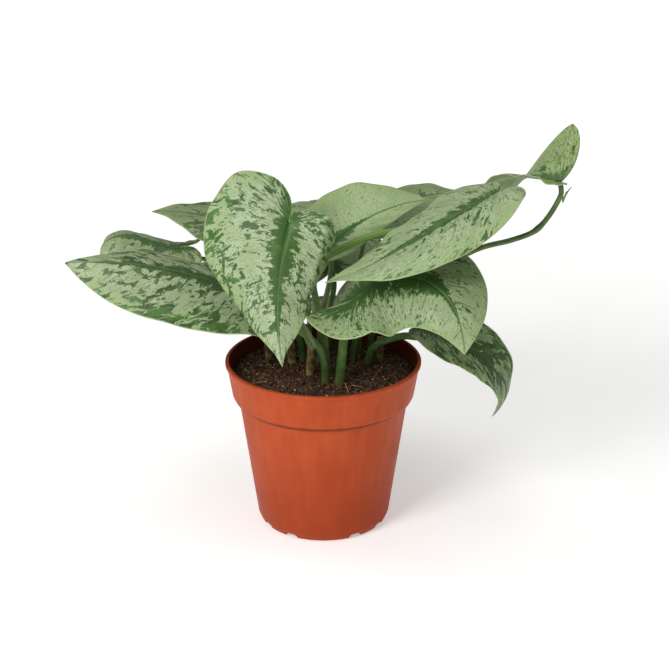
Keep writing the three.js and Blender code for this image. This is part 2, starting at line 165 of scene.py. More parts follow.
def sweepRod(name, points, radiusAt, material, node, slot, sides=20, channel=0.0, domes=(0.5, 0.3)):
    # A closed stem along points: radiusAt gives its radius at a share of the length, channel the
    # depth of its groove, domes how far each end bulges, both as shares of the radius.
    tangents = np.gradient(points, axis=0)
    tangents /= np.linalg.norm(tangents, axis=1)[:, None]
    across = np.cross(tangents[0], [0, 1, 0.2])
    angles = np.arange(sides + 1) / sides * 2 * math.pi
    groove = 1 - channel * np.exp(-((angles - math.pi) / 0.45) ** 2)
    vertices, rings, maps, walked = [], [], [], 0.0
    for i, (point, tangent) in enumerate(zip(points, tangents)):
        across = across - tangent * (across @ tangent)
        across /= np.linalg.norm(across)
        other = np.cross(tangent, across)
        share = i / (len(points) - 1)
        radius = radiusAt(share)
        if i:
            walked += np.linalg.norm(points[i] - points[i - 1])
        ring = []
        for angle, depth in zip(angles, groove):
            ring.append(len(vertices))
            vertices.append(point + (across * math.cos(angle) + other * math.sin(angle)) * radius * depth)
            maps.append((angle * radius / uvUnit, walked / uvUnit))
        rings.append(ring)
    faces = []
    for low, high in zip(rings[:-1], rings[1:]):
        for j in range(sides):
            faces.append((low[j], low[j + 1], high[j + 1], high[j]))
    for ring, way, radius, dome, onMap in (
        (rings[0], -tangents[0], radiusAt(0), domes[0], -0.01),
        (rings[-1], tangents[-1], radiusAt(1), domes[1], 0.01),
    ):
        previous = ring
        for lap in (0.6, 0.9, 1.0):
            shrink = math.sqrt(max(0, 1 - lap ** 2)) if lap < 1 else 0
            ringPoints = [np.array(vertices[k]) for k in ring[:-1]]
            centre = sum(ringPoints) / len(ringPoints)
            current = []
            for j in range(sides + 1):
                edge = np.array(vertices[ring[j]])
                current.append(len(vertices))
                vertices.append(centre + (edge - centre) * shrink + way * radius * dome * lap)
                maps.append((maps[ring[j]][0], maps[ring[j]][1] + onMap * lap))
            for j in range(sides):
                quad = (previous[j], previous[j + 1], current[j + 1], current[j])
                faces.append(quad if ring is rings[-1] else quad[::-1])
            previous = current
    uvMaps = {"stemMap": cornerValues(maps, faces)}
    return makePiece(name, vertices, faces, [material], node, slot, uvMaps)


print("camera, floor and light")
cameraSetup = {"elevation": 21.6, "aim": (6.2, 0, 109), "distance": 900, "lens": 88.4}
towardsCamera = Vector((0, -math.cos(math.radians(cameraSetup["elevation"])),
                        math.sin(math.radians(cameraSetup["elevation"]))))
camera = bpy.data.objects.new("camera", bpy.data.cameras.new("camera"))
camera.data.lens = cameraSetup["lens"]
camera.location = (Vector(cameraSetup["aim"]) + towardsCamera * cameraSetup["distance"]) * millimetre
camera.rotation_euler = (-towardsCamera).to_track_quat("-Z", "Y").to_euler()
bpy.context.scene.collection.objects.link(camera)
bpy.context.scene.camera = camera
bpy.context.scene.view_settings.view_transform = "Standard"

# A white sweep of studio board, lit from behind more strongly away from the plant (glow).
# Lamps: place and aim in mm, size in mm, power in watts.
floorSetup = {"size": 9000, "colour": "#F6F6F4", "roughness": 0.8, "glowFrom": 250, "glowTo": 1100,
              "glow": (0.4, 0.85)}
lamps = {
    "keySoftbox": {"place": (-620, -820, 820), "aim": (0, 0, 110), "size": 460, "power": 9.0},
    "topSoftbox": {"place": (-60, 60, 1100), "aim": (0, 0, 90), "size": 600, "power": 2.6},
    "rightFill": {"place": (900, -500, 420), "aim": (0, 0, 110), "size": 700, "power": 0.5},
}
worldStrength = 0.27

world = bpy.data.worlds.new("studio")
world.use_nodes = True
world.node_tree.nodes["Background"].inputs["Color"].default_value = toLinear("#FFFFFF")
world.node_tree.nodes["Background"].inputs["Strength"].default_value = worldStrength
bpy.context.scene.world = world

for lampName, lamp in lamps.items():
    light = bpy.data.lights.new(lampName, "AREA")
    light.size = lamp["size"] * millimetre
    light.energy = lamp["power"]
    holder = bpy.data.objects.new(lampName, light)
    holder.location = Vector(lamp["place"]) * millimetre
    way = Vector(lamp["aim"]) - Vector(lamp["place"])
    holder.rotation_euler = way.to_track_quat("-Z", "Y").to_euler()
    bpy.context.scene.collection.objects.link(holder)

floorMaterial, floorTree, floorShader = newMaterial("paleStudioBoard")
floorShader.inputs["Base Color"].default_value = toLinear(floorSetup["colour"])
floorShader.inputs["Roughness"].default_value = floorSetup["roughness"]
floorShader.inputs["Specular IOR Level"].default_value = 0.1
floorShader.inputs["Emission Color"].default_value = toLinear("#FFFFFF")
floorPlace = addNode(floorTree, "TexCoord", {}, "Object")
fromPlant = addNode(floorTree, "VectorMath", {0: floorPlace}, "Value", operation="LENGTH")
glowLow, glowHigh = floorSetup["glow"]
glow = addNode(floorTree, "MapRange", {
    "Value": fromPlant, "From Min": floorSetup["glowFrom"] * millimetre,
    "From Max": floorSetup["glowTo"] * millimetre, "To Min": glowLow, "To Max": glowHigh}, **smooth)
floorTree.links.new(glow, floorShader.inputs["Emission Strength"])
reach = floorSetup["size"] / 2
floorCorners = [(-reach, -reach, 0), (reach, -reach, 0), (reach, reach, 0), (-reach, reach, 0)]
floor = makePiece("floor", floorCorners, [(0, 1, 2, 3)], [floorMaterial])


print("pot: moulded shell with collar, lip and foot notches")
pot = {
    "height": 95, "rimRadius": 54, "rimRound": 0.5, "lipDepth": 1.8, "lipStep": 1, "lipSlope": 0.7,
    "collarHeight": 21, "collarFootRadius": 50.3, "collarFootRound": 2, "collarFootStep": 1,
    "neckRadius": 46.7, "heelRadius": 37.7, "heelHeight": 9, "heelBulge": 0.6,
    "footRadius": 35.5, "footRound": 1.5, "wall": 1.2, "segments": 180, "easing": 0.35, "easingSteps": 4,
    "notchHeight": 3, "notchAngle": 14, "notchDepth": 4, "notchArch": 6, "notchSteps": 12,
    "notchMargin": (2, 4),  # how far a cutter passes the pot below and outside
    "notchCentres": (30, 60),
}
neckHeight = pot["height"] - pot["collarHeight"]
collarInnerFoot = neckHeight + pot["collarFootRound"] + pot["collarFootStep"]


def injectionMouldedPlastic():
    # Polypropylene, injection moulded: a satin, slightly waxy orange-brown with faint flow marks, a
    # fine orange-peel skin and dust specks near the foot. Painted shade darkens the wall towards the foot
    # and in a line under the collar; the inner wall is darkened by painted shade and a stain from damp mix.
    material, tree, shader = newMaterial("terracottaPolypropylene")
    place = addNode(tree, "TexCoord", {}, "Object")
    bodyMap = addNode(tree, "Mapping", {"Vector": place, "Scale": bodyScale})
    flow = addNode(tree, "TexNoise", {
        "Vector": addNode(tree, "Mapping", {"Vector": bodyMap, "Scale": (1, 1, 0.12)}),
        "Scale": patternScale(5), "Detail": 3})
    cloud = addNode(tree, "TexNoise", {"Vector": bodyMap, "Scale": patternScale(26)})
    speck = addNode(tree, "TexNoise", {"Vector": bodyMap, "Scale": patternScale(0.9), "Detail": 1})
    height = addNode(tree, "SeparateXYZ", {"Vector": bodyMap}, "Z")
    level = addNode(tree, "Mapping", {"Vector": place, "Scale": (1, 1, 0)})
    facing = addNode(tree, "NewGeometry", {}, "Normal")
    outward = addNode(tree, "VectorMath", {0: facing, 1: level}, "Value", operation="DOT_PRODUCT")
    colour = paintOver(tree, "#B04822", "#BA5028", flow, 0.3, 0.7)
    colour = paintOver(tree, colour, "#A6421E", cloud, 0.35, 0.7, 0, 0.45)
    # Painted shade: the wall darkens towards the foot.
    colour = paintOver(tree, colour, "#943515", height, 0.0, 0.75, 0.5, 0.0)
    dusty = addNode(tree, "Math", {
        0: addNode(tree, "MapRange", {
            "Value": height, "From Max": 0.35, "To Min": 0.35, "To Max": 0.0}, **smooth),
        1: addNode(tree, "MapRange", {
            "Value": speck, "From Min": 0.5, "From Max": 0.72}, **smooth)}, operation="MULTIPLY")
    colour = addNode(tree, "Mix", {0: dusty, 6: colour, 7: "#8A4226"}, 2, **ofColour)
    # Painted shade: a dark line just under the collar, where the undercut faces down.
    step = neckHeight / uvUnit
    paintedShadeUnderCollar = addNode(tree, "Math", {
        0: addNode(tree, "MapRange", {
            "Value": height, "From Min": step - 0.028, "From Max": step - 0.006,
            "To Max": 0.75}, **smooth),
        1: addNode(tree, "MapRange", {
            "Value": height, "From Min": step - 0.002, "From Max": step + 0.018, "To Min": 1.0,
            "To Max": 0.0}, **smooth)}, operation="MULTIPLY")
    colour = addNode(tree, "Mix", {0: paintedShadeUnderCollar, 6: colour, 7: "#571D0A"}, 2, **ofColour)
    # Painted shade on the inner wall, together with some stain from the damp mix.
    colour = paintOver(tree, colour, "#45190E", outward, -0.012, -0.004, 0.85, 0.0)
    tree.links.new(colour, shader.inputs["Base Color"])
    roughness = addNode(tree, "MapRange", {
        "Value": cloud, "From Min": 0.3, "From Max": 0.7, "To Min": 0.46, "To Max": 0.56}, **smooth)
    tree.links.new(roughness, shader.inputs["Roughness"])
    shader.inputs["IOR"].default_value = 1.49
    shader.inputs["Specular IOR Level"].default_value = 0.14
    skin = addNode(tree, "Math", {
        0: addNode(tree, "Math", {0: flow, 1: 0.6}, operation="MULTIPLY"),
        1: addNode(tree, "TexNoise", {"Vector": bodyMap, "Scale": patternScale(1.6)})}, operation="ADD")
    bump = addNode(tree, "Bump", {"Height": skin, "Distance": 0.12 * millimetre, "Strength": 0.35})
    tree.links.new(bump, shader.inputs["Normal"])
    return material


def roundedProfile(points):
    # Every corner of the mould is eased by a small curve.
    radius, steps = pot["easing"], pot["easingSteps"]
    p = [np.array(point, float) for point in points]
    out = [p[0]]
    for before, corner, after in zip(p[:-2], p[1:-1], p[2:]):
        a = corner + (before - corner) * min(0.45, radius / np.linalg.norm(before - corner))
        b = corner + (after - corner) * min(0.45, radius / np.linalg.norm(after - corner))
        for t in np.linspace(0, 1, steps + 1):
            out.append(a * (1 - t) ** 2 + corner * 2 * t * (1 - t) + b * t ** 2)
    return out + [p[-1]]


def turnedBody(profile, segments):
    # Closed body turned about Z. The profile runs from the axis round to the axis.
    vertices, faces = [], []
    for i in range(segments + 1):
        angle = i / segments * 2 * math.pi
        vertices += [(r * math.cos(angle), r * math.sin(angle), z) for r, z in profile]
    count = len(profile)
    for i in range(segments):
        for j in range(count - 1):
            a = i * count + j
            faces.append((a, a + count, a + count + 1, a + 1))
    return vertices, faces


def buildPot():
    outside = [
        (0, 0),
        (pot["footRadius"] - pot["footRound"], 0),
        (pot["footRadius"], pot["footRound"] / 2),
        (pot["heelRadius"] - pot["heelBulge"], pot["heelHeight"] / 2),
        (pot["heelRadius"], pot["heelHeight"]),
        (pot["neckRadius"], neckHeight - pot["collarFootRound"]),
        (pot["collarFootRadius"] - pot["collarFootStep"], neckHeight),
        (pot["collarFootRadius"], neckHeight + pot["collarFootRound"]),
        (pot["rimRadius"] - pot["lipStep"], pot["height"] - pot["lipDepth"] - pot["lipSlope"]),
        (pot["rimRadius"], pot["height"] - pot["lipDepth"]),
        (pot["rimRadius"], pot["height"] - pot["rimRound"]),
        (pot["rimRadius"] - pot["rimRound"], pot["height"]),
    ]
    inside = [
        (pot["rimRadius"] - pot["lipStep"] - pot["wall"], pot["height"]),
        (pot["collarFootRadius"] - pot["wall"], collarInnerFoot),
        (pot["neckRadius"] - pot["wall"], neckHeight),
        (pot["heelRadius"] - pot["wall"], pot["heelHeight"]),
        (pot["footRadius"] - pot["wall"], pot["wall"] + pot["footRound"]),
        (pot["footRadius"] - pot["wall"] - pot["footRound"], pot["wall"]),
        (0, pot["wall"]),
    ]
    vertices, faces = turnedBody(roundedProfile(outside + inside), pot["segments"])
    piece = makePiece("potShell", vertices, faces, [injectionMouldedPlastic()], "pot", "pot_plastic")
    mouth = 2 * pot["footRadius"] * math.sin(math.radians(pot["notchAngle"] / 2))
    below, beyond = pot["notchMargin"]
    cutters = []
    for quarter in range(4):
        for centre in pot["notchCentres"]:
            angle = math.radians(centre + quarter * 90)
            out = Vector((math.cos(angle), math.sin(angle), 0))
            side = Vector((-math.sin(angle), math.cos(angle), 0))
            outline = []
            for k in range(pot["notchSteps"] + 1):
                t = k / pot["notchSteps"] * 2 - 1
                outline.append((t * mouth / 2, pot["notchHeight"] * (1 - abs(t) ** pot["notchArch"])))
            outline += [(mouth / 2, -below), (-mouth / 2, -below)]
            ends = []
            for reachOut in (pot["footRadius"] - pot["notchDepth"], pot["footRadius"] + beyond):
                ends.append([out * reachOut + side * s + Vector((0, 0, z)) for s, z in outline])
            count = len(outline)
            corners = ends[0] + ends[1]
            sides = [(k, count + k, count + (k + 1) % count, (k + 1) % count) for k in range(count)]
            caps = [tuple(range(count)), tuple(range(count, 2 * count))[::-1]]
            cutter = makePiece(f"notchCutter{len(cutters)}", corners, sides + caps, [])
            cutters.append(cutter)
    for cutter in cutters:
        cut = piece.modifiers.new("notch", "BOOLEAN")
        cut.object = cutter
        cut.solver = "EXACT"
    bpy.context.view_layer.update()
    whole = bpy.data.meshes.new_from_object(piece.evaluated_get(bpy.context.evaluated_depsgraph_get()))
    piece.modifiers.clear()
    piece.data = whole
    for cutter in cutters:
        bpy.data.objects.remove(cutter)
    whole.polygons.foreach_set("use_smooth", [True] * len(whole.polygons))
    whole.set_sharp_from_angle(angle=math.radians(40))


buildPot()

print("leaves: fifteen bent, quilted blades")
# The growth values are the plant's own: base is where the stalk meets the blade; heading is the
# compass of the midrib, 0 to the right and 90 to the back, and turn how much it swings by the tip;
# pitch is its climb at base, middle and tip; roll and twist tip the left side down. A half has a
# width, a lobe behind the stalk, a fold up from the midrib and a curl down towards its margin.
blade = {
    "thickness": 0.5, "rows": 84, "columns": 26, "veinSplit": 0.3, "veinCrowding": 2.0, "veinBow": 0.2,
    "midribSteps": 160, "bendSteps": 24,
    "outlineSteps": 60, "columnEase": 0.9,
    "grooveDepth": 0.55, "grooveWidth": 1.1, "veinSpacing": 8.5, "quilt": 0.5, "quiltRound": 0.7,
    "wave": 0.9, "waves": 3.2, "ripple": 0.4, "rippleRate": 2.3,
}
# out, along, back and flared back, as shares of the half's width, the leaf's length and its lobe.
halfOutline = (
    (0, 0, 0, 0), (0.11, 0, 0.66, 0.03), (0.42, 0, 1, 0.27), (0.8, 0, 0.62, 0.9), (0.98, 0.08, 0, 0.5),
    (0.97, 0.3, 0, 0), (0.78, 0.55, 0, 0), (0.48, 0.76, 0, 0), (0.17, 0.91, 0, 0), (0, 1, 0, 0),
)
# band is the dark band's half width beside the midrib in mm and bandEnd the share of the leaf where it
# stops; blotch and speck are how much of the field is dark; veinInk draws the side veins.
leaves = {
    "front": {
        "base": (-17, -39, 186), "heading": 250, "turn": -30, "pitch": (-50, -85, -100), "length": 79,
        "roll": 10, "twist": 0,
        "left": {"width": 31, "lobe": 8, "fold": (0, -45, -60), "curl": -20, "fullness": 1.3,
                 "crease": {"at": 0.62, "width": 0.1, "angle": -45}},
        "right": {"width": 44, "lobe": 28, "fold": (15, 5, 0), "curl": -25, "fullness": 1.35, "flare": 0.3},
        "stalk": (1.8, ((-9, 12), (-15, 8, 112), (-23, -4, 150), (-21, -22, 176))),
        "look": {"silver": "#AEBC97", "field": "#99AB7F", "dark": "#37591F", "band": 7.4, "bandEnd": 0.88,
                 "blotch": 0.42, "speck": 0.62, "veinInk": 0.4, "edgeInk": 0.05, "seed": 3.1},
    },
    "left": {
        "base": (-42, -8, 136), "heading": 200, "turn": -32, "pitch": (30, 12, -10), "length": 100,
        "roll": 28, "twist": 0,
        "left": {"width": 34, "lobe": 14, "fold": (8, -12, -40), "curl": -15, "fullness": 0.7},
        "right": {"width": 28, "lobe": 18, "fold": (-18, -20, -18), "curl": -20},
        "stalk": (2.2, ((2.2, -19), (-2, -18, 108), (-20, -6, 118))),
        "look": {"silver": "#A6B48D", "field": "#92A277", "dark": "#304D1D", "band": 7.5, "bandEnd": 0.96,
                 "blotch": 0.47, "speck": 0.6, "veinInk": 0.6, "edgeInk": 0.05, "seed": 7.4,
                 "tip": "#4A4030"},
    },
    "left_rear": {
        "base": (-80, 32, 149), "heading": 182, "turn": 0, "pitch": (-8, 12, -110), "length": 54,
        "roll": 0, "twist": 0,
        "left": {"width": 24, "lobe": 12, "fold": (-28, -50, -20), "curl": -20},
        "right": {"width": 22, "lobe": 12, "fold": (0, 0, 0), "curl": -25},
        "stalk": (1.6, ((-18, 21), (-24, 24, 110), (-50, 30, 138))),
        "look": {"silver": "#94A27A", "field": "#7E8F62", "dark": "#3A5630", "band": 4.5, "bandEnd": 0.85,
                 "blotch": 0.42, "speck": 0.5, "veinInk": 0.3, "edgeInk": 0.0, "seed": 11.2},
    },
    "upper_left": {
        "base": (-22, 30, 152), "heading": 168, "turn": 0, "pitch": (20, 12, -10), "length": 78,
        "roll": 0, "twist": 0,
        "left": {"width": 27, "lobe": 14, "fold": (0, -10, -5), "curl": -20},
        "right": {"width": 26, "lobe": 16, "fold": (15, 15, 10), "curl": -20},
        "stalk": (1.6, ((-27, 28), (-26, 29, 110), (-20, 30, 135))),
        "look": {"silver": "#8D9A73", "field": "#78865C", "dark": "#384E28", "band": 5.0, "bandEnd": 0.9,
                 "blotch": 0.48, "speck": 0.55, "veinInk": 0.4, "edgeInk": 0.0, "seed": 14.9,
                 "tip": "#4A4636"},
    },
    "top": {
        "base": (2, -5, 160), "heading": 18, "turn": 6, "pitch": (42, 20, -5), "length": 64,
        "roll": 0, "twist": 0,
        "left": {"width": 32, "lobe": 18, "fold": (32, 32, 25), "curl": -20},
        "right": {"width": 11, "lobe": 4, "fold": (-18, -50, -30), "curl": -20},
        "stalk": (1.8, ((-3, 8), (-1, 6, 115), (4, 0, 142))),
        "look": {"silver": "#A3B785", "field": "#91A872", "dark": "#3F652C", "band": 3.4, "bandEnd": 0.5,
                 "blotch": 0.2, "speck": 0.42, "veinInk": 0.2, "edgeInk": 0.0, "seed": 18.3},
    },
    "top_rear": {
        "base": (25, 38, 163), "heading": 22, "turn": 0, "pitch": (25, 8, -15), "length": 64,
        "roll": 0, "twist": 0,
        "left": {"width": 26, "lobe": 16, "fold": (10, 10, 5), "curl": -20},
        "right": {"width": 24, "lobe": 14, "fold": (0, 0, 0), "curl": -20},
        "stalk": (1.7, ((20, 22), (20, 24, 112), (21, 31, 142))),
        "look": {"silver": "#8A9B70", "field": "#73865A", "dark": "#435E36", "band": 3.0, "bandEnd": 0.8,
                 "blotch": 0.36, "speck": 0.45, "veinInk": 0.6, "edgeInk": 0.0, "seed": 22.6},
    },
    "upper_right": {
        "base": (87, -30, 196), "heading": 212, "turn": -42, "pitch": (-13, -28, -20), "length": 98,
        "roll": 0, "twist": 0,
        "left": {"width": 31, "lobe": 8, "fold": (46, 12, 8), "curl": -75},
        "right": {"width": 30, "lobe": 12, "fold": (8, 12, 14), "curl": -25},
        "stalk": (2.1, ((3, -6), (0, -8, 115), (-5, -16, 144), (-3, -23, 158), (10, -22, 166),
                        (28, -17, 172), (46, -16, 175), (66, -16, 178), (82, -24, 184))),
        "look": {"silver": "#A7B78E", "field": "#93A678", "dark": "#385824", "band": 6.4, "bandEnd": 0.88,
                 "blotch": 0.36, "speck": 0.62, "veinInk": 0.3, "edgeInk": 0.0, "seed": 26.8},
    },
    "right": {
        "base": (20, -35, 146), "heading": 350, "turn": -60, "pitch": (45, -15, -85), "length": 86,
        "roll": 0, "twist": 0,
        "left": {"width": 38, "lobe": 20, "fold": (20, 20, 10), "curl": -25},
        "right": {"width": 34, "lobe": 31, "fold": (-16, -44, -20), "curl": -20, "lobeBend": 34,
                  "fullness": 0.88},
        "stalk": (2.8, ((8, -19), (11, -21, 112), (13, -29, 130))),
        "look": {"silver": "#A7B78C", "field": "#92A574", "dark": "#33561E", "band": 12.5, "bandEnd": 0.86,
                 "blotch": 0.33, "speck": 0.72, "veinInk": 0.9, "edgeInk": 0.0, "seed": 31.5},
    },
    "lower_right": {
        "base": (56.5, 12, 107.5), "heading": 348, "turn": 22, "pitch": (-15, -45, -130), "length": 77,
        "roll": 10, "twist": -38,
        "left": {"width": 24, "lobe": 13, "fold": (40, 32, 20), "curl": -20},
        "right": {"width": 17, "lobe": 8, "fold": (-10, -20, 0), "curl": -20},
        "stalk": (2.4, ((23, 7), (28, 8, 98), (44, 10, 104))),
        "look": {"silver": "#98A97D", "field": "#7A8D5C", "dark": "#324C20", "band": 7.0, "bandEnd": 0.95,
                 "blotch": 0.52, "speck": 0.5, "veinInk": 0.5, "edgeInk": 0.0, "seed": 36.1},
    },
    "vine_tip": {
        "base": (126.5, 5, 194), "heading": 172, "turn": 24, "pitch": (10, 0, -40), "length": 46,
        "roll": 0, "twist": 0,
        "left": {"width": 14, "lobe": 3, "fold": (14, 24, 60), "curl": -10},
        "right": {"width": 35, "lobe": 6, "fold": (66, -34, -45), "curl": -15, "fullness": 1.9, "flare": 1},
        "look": {"silver": "#A0B178", "field": "#8CA160", "dark": "#42652E", "band": 6.0, "bandEnd": 0.6,
                 "blotch": 0.34, "speck": 0.8, "veinInk": 0.4, "edgeInk": 0.0, "seed": 40.7},
    },
    "centre": {
        "base": (-9, 21, 160), "heading": 75, "turn": 0, "pitch": (30, 5, -35), "length": 52,
        "roll": 0, "twist": 0,
        "left": {"width": 22, "lobe": 12, "fold": (5, 5, 5), "curl": -20},
        "right": {"width": 20, "lobe": 10, "fold": (5, 5, 5), "curl": -20},
        "stalk": (1.5, ((-7, 24), (-8, 23, 112), (-9, 21, 140))),
        "look": {"silver": "#97A97A", "field": "#7E9163", "dark": "#38572B", "band": 3.8, "bandEnd": 0.8,
                 "blotch": 0.4, "speck": 0.5, "veinInk": 0.3, "edgeInk": 0.0, "seed": 44.2},
    },
    "back": {
        "base": (5, 54, 132), "heading": 90, "turn": 8, "pitch": (30, 0, -50), "length": 76,
        "roll": 0, "twist": 0,
        "left": {"width": 30, "lobe": 16, "fold": (5, 5, 0), "curl": -25},
        "right": {"width": 30, "lobe": 16, "fold": (5, 5, 0), "curl": -25},
        "stalk": (2, ((3, 32), (3, 36, 105), (6, 48, 120))),
        "look": {"silver": "#A3B388", "field": "#8DA070", "dark": "#375A2A", "band": 5.6, "bandEnd": 0.84,
                 "blotch": 0.37, "speck": 0.58, "veinInk": 0.3, "edgeInk": 0.05, "seed": 49.9},
    },
    "back_left": {
        "base": (-32, 50, 122), "heading": 132, "turn": 12, "pitch": (25, -10, -60), "length": 74,
        "roll": 0, "twist": 0,
        "left": {"width": 28, "lobe": 14, "fold": (0, 0, 0), "curl": -25},
        "right": {"width": 28, "lobe": 14, "fold": (5, 5, 5), "curl": -25},
        "stalk": (1.9, ((-12, 36), (-15, 39, 101), (-26, 46, 112))),
        "look": {"silver": "#94A577", "field": "#7A8D5A", "dark": "#315027", "band": 6.2, "bandEnd": 0.9,
                 "blotch": 0.48, "speck": 0.55, "veinInk": 0.4, "edgeInk": 0.03, "seed": 53.3},
    },
    "back_right": {
        "base": (40, 44, 115), "heading": 56, "turn": -4, "pitch": (15, -15, -65), "length": 66,
        "roll": 0, "twist": 0,
        "left": {"width": 28, "lobe": 15, "fold": (5, 5, 5), "curl": -25},
        "right": {"width": 27, "lobe": 14, "fold": (0, 0, 0), "curl": -25},
        "stalk": (1.9, ((26, 27), (28, 30, 98), (36, 39, 106))),
        "look": {"silver": "#9EAF81", "field": "#879A69", "dark": "#38582B", "band": 5.2, "bandEnd": 0.85,
                 "blotch": 0.42, "speck": 0.55, "veinInk": 0.35, "edgeInk": 0.05, "seed": 57.8},
    },
    "back_low": {
        "base": (14, 64, 107), "heading": 88, "turn": 0, "pitch": (-10, -65, -95), "length": 64,
        "roll": 0, "twist": 0,
        "left": {"width": 25, "lobe": 9, "fold": (5, 5, 5), "curl": -20},
        "right": {"width": 25, "lobe": 9, "fold": (5, 5, 5), "curl": -20},
        "stalk": (1.8, ((13, 38), (13, 44, 100), (14, 56, 105))),
        "look": {"silver": "#92A375", "field": "#7A8E5A", "dark": "#324F27", "band": 5.2, "bandEnd": 0.9,
                 "blotch": 0.46, "speck": 0.55, "veinInk": 0.4, "edgeInk": 0.04, "seed": 61.4},
    },
}


def silverLeafTop(name, look):
    # Waxy leaf blade, variegated: a satin silver-sage field where air lies under the skin, and bare
    # green along the midrib, in streaks that follow the side veins and in specks. The blade has a thin
    # pale margin and fine pebbling that softens its shine.
    material, tree, shader = newMaterial(f"silverLeaf_{name}")
    shift = (look["seed"], look["seed"] * 0.37, 0)
    flatMap = addNode(tree, "UVMap", {}, uv_map="flatMap")
    veinMap = addNode(tree, "UVMap", {}, uv_map="veinMap")
    shareMap = addNode(tree, "UVMap", {}, uv_map="shareMap")
    flat = addNode(tree, "Mapping", {"Vector": flatMap, "Location": shift})
    flatX = addNode(tree, "SeparateXYZ", {"Vector": flatMap}, "X")
    veinY = addNode(tree, "SeparateXYZ", {"Vector": veinMap}, "Y")
    out = addNode(tree, "SeparateXYZ", {"Vector": shareMap}, "X")
    along = addNode(tree, "SeparateXYZ", {"Vector": shareMap}, "Y")
    fromRib = addNode(tree, "Math", {0: flatX}, operation="ABSOLUTE")
    fromRib = addNode(tree, "Math", {0: fromRib, 1: uvUnit}, operation="MULTIPLY")

    # Streaks are drawn out along the side veins.
    streak = addNode(tree, "TexNoise", {
        "Vector": addNode(tree, "Mapping", {"Vector": veinMap, "Location": shift, "Scale": (0.72, 1, 1)}),
        "Scale": patternScale(4.4), "Detail": 6, "Roughness": 0.64, "Distortion": 0.9})
    feather = addNode(tree, "TexNoise", {
        "Vector": addNode(tree, "Mapping", {"Vector": veinMap, "Location": shift, "Scale": (0.5, 1, 1)}),
        "Scale": patternScale(3.4), "Detail": 6, "Roughness": 0.66, "Distortion": 0.6})
    patch = addNode(tree, "TexNoise", {"Vector": flat, "Scale": patternScale(15)})
    crumb = addNode(tree, "TexNoise", {
        "Vector": addNode(tree, "Mapping", {"Vector": veinMap, "Location": shift, "Scale": (0.55, 1, 1)}),
        "Scale": patternScale(1.7), "Detail": 4, "Roughness": 0.68})
    dash = addNode(tree, "TexNoise", {
        "Vector": addNode(tree, "Mapping", {
            "Vector": veinMap, "Location": (shift[1], shift[0], 0), "Scale": (0.34, 1, 1)}),
        "Scale": patternScale(1.0), "Detail": 3, "Roughness": 0.6})

    # The band narrows towards its end and its edge is torn by the feathering.
    bandWidth = addNode(tree, "MapRange", {
        "Value": along, "From Min": 0.1, "From Max": look["bandEnd"], "To Min": look["band"],
        "To Max": 0.3}, **smooth)
    torn = addNode(tree, "Math", {
        0: addNode(tree, "Math", {0: feather, 1: 0.5}, operation="SUBTRACT"),
        1: 2.6}, operation="MULTIPLY")
    tornMore = addNode(tree, "Math", {
        0: addNode(tree, "Math", {0: streak, 1: 0.5}, operation="SUBTRACT"),
        1: 3.4}, operation="MULTIPLY")
    edge = addNode(tree, "Math", {0: fromRib, 1: bandWidth}, operation="DIVIDE")
    edge = addNode(tree, "Math", {
        0: edge, 1: addNode(tree, "Math", {0: torn, 1: tornMore}, operation="ADD")}, operation="SUBTRACT")
    band = addNode(tree, "MapRange", {
        "Value": edge, "From Min": 0.85, "From Max": 1.05, "To Min": 1.0, "To Max": 0.0}, **smooth)
    band = addNode(tree, "Math", {
        0: band,
        1: addNode(tree, "MapRange", {
            "Value": along, "From Min": look["bandEnd"] - 0.12, "From Max": look["bandEnd"] + 0.05,
            "To Min": 1, "To Max": 0}, **smooth)}, operation="MULTIPLY")

    # Blotches gather in patches, near the margin where edgeInk says so, and thin out towards the tip.
    level = 0.5 + (0.5 - look["blotch"]) * 0.62
    gathered = addNode(tree, "Math", {
        0: addNode(tree, "Math", {0: patch, 1: 0.5}, operation="SUBTRACT"),
        1: 0.36}, operation="MULTIPLY")
    bare = addNode(tree, "MapRange", {"Value": along, "From Min": 0.66, "To Max": 0.09}, **smooth)
    atEdge = addNode(tree, "MapRange", {
        "Value": out, "From Min": 0.5, "From Max": 0.95, "To Max": look["edgeInk"]}, **smooth)
    limit = addNode(tree, "Math", {
        0: addNode(tree, "Math", {0: bare, 1: level}, operation="ADD"),
        1: addNode(tree, "Math", {0: gathered, 1: atEdge}, operation="ADD")}, operation="SUBTRACT")
    blotch = addNode(tree, "MapRange", {
        "Value": addNode(tree, "Math", {0: streak, 1: limit}, operation="SUBTRACT"), "From Min": -0.004,
        "From Max": 0.018}, **smooth)
    sparse = addNode(tree, "Math", {
        0: 0.7 - look["speck"] * 0.17,
        1: addNode(tree, "Math", {0: gathered, 1: 0.6}, operation="MULTIPLY")}, operation="SUBTRACT")
    sparse = addNode(tree, "Math", {
        0: sparse, 1: addNode(tree, "Math", {0: bare, 1: 0.5}, operation="MULTIPLY")}, operation="ADD")
    speck = addNode(tree, "MapRange", {
        "Value": addNode(tree, "Math", {0: crumb, 1: sparse}, operation="SUBTRACT"), "From Min": -0.004,
        "From Max": 0.02, "To Max": 0.9}, **smooth)
    dashed = addNode(tree, "MapRange", {
        "Value": addNode(tree, "Math", {
            0: dash,
            1: addNode(tree, "Math", {0: sparse, 1: 0.02}, operation="ADD")}, operation="SUBTRACT"),
        "From Max": 0.03, "To Max": 0.85}, **smooth)
    speck = addNode(tree, "Math", {0: speck, 1: dashed}, operation="MAXIMUM")

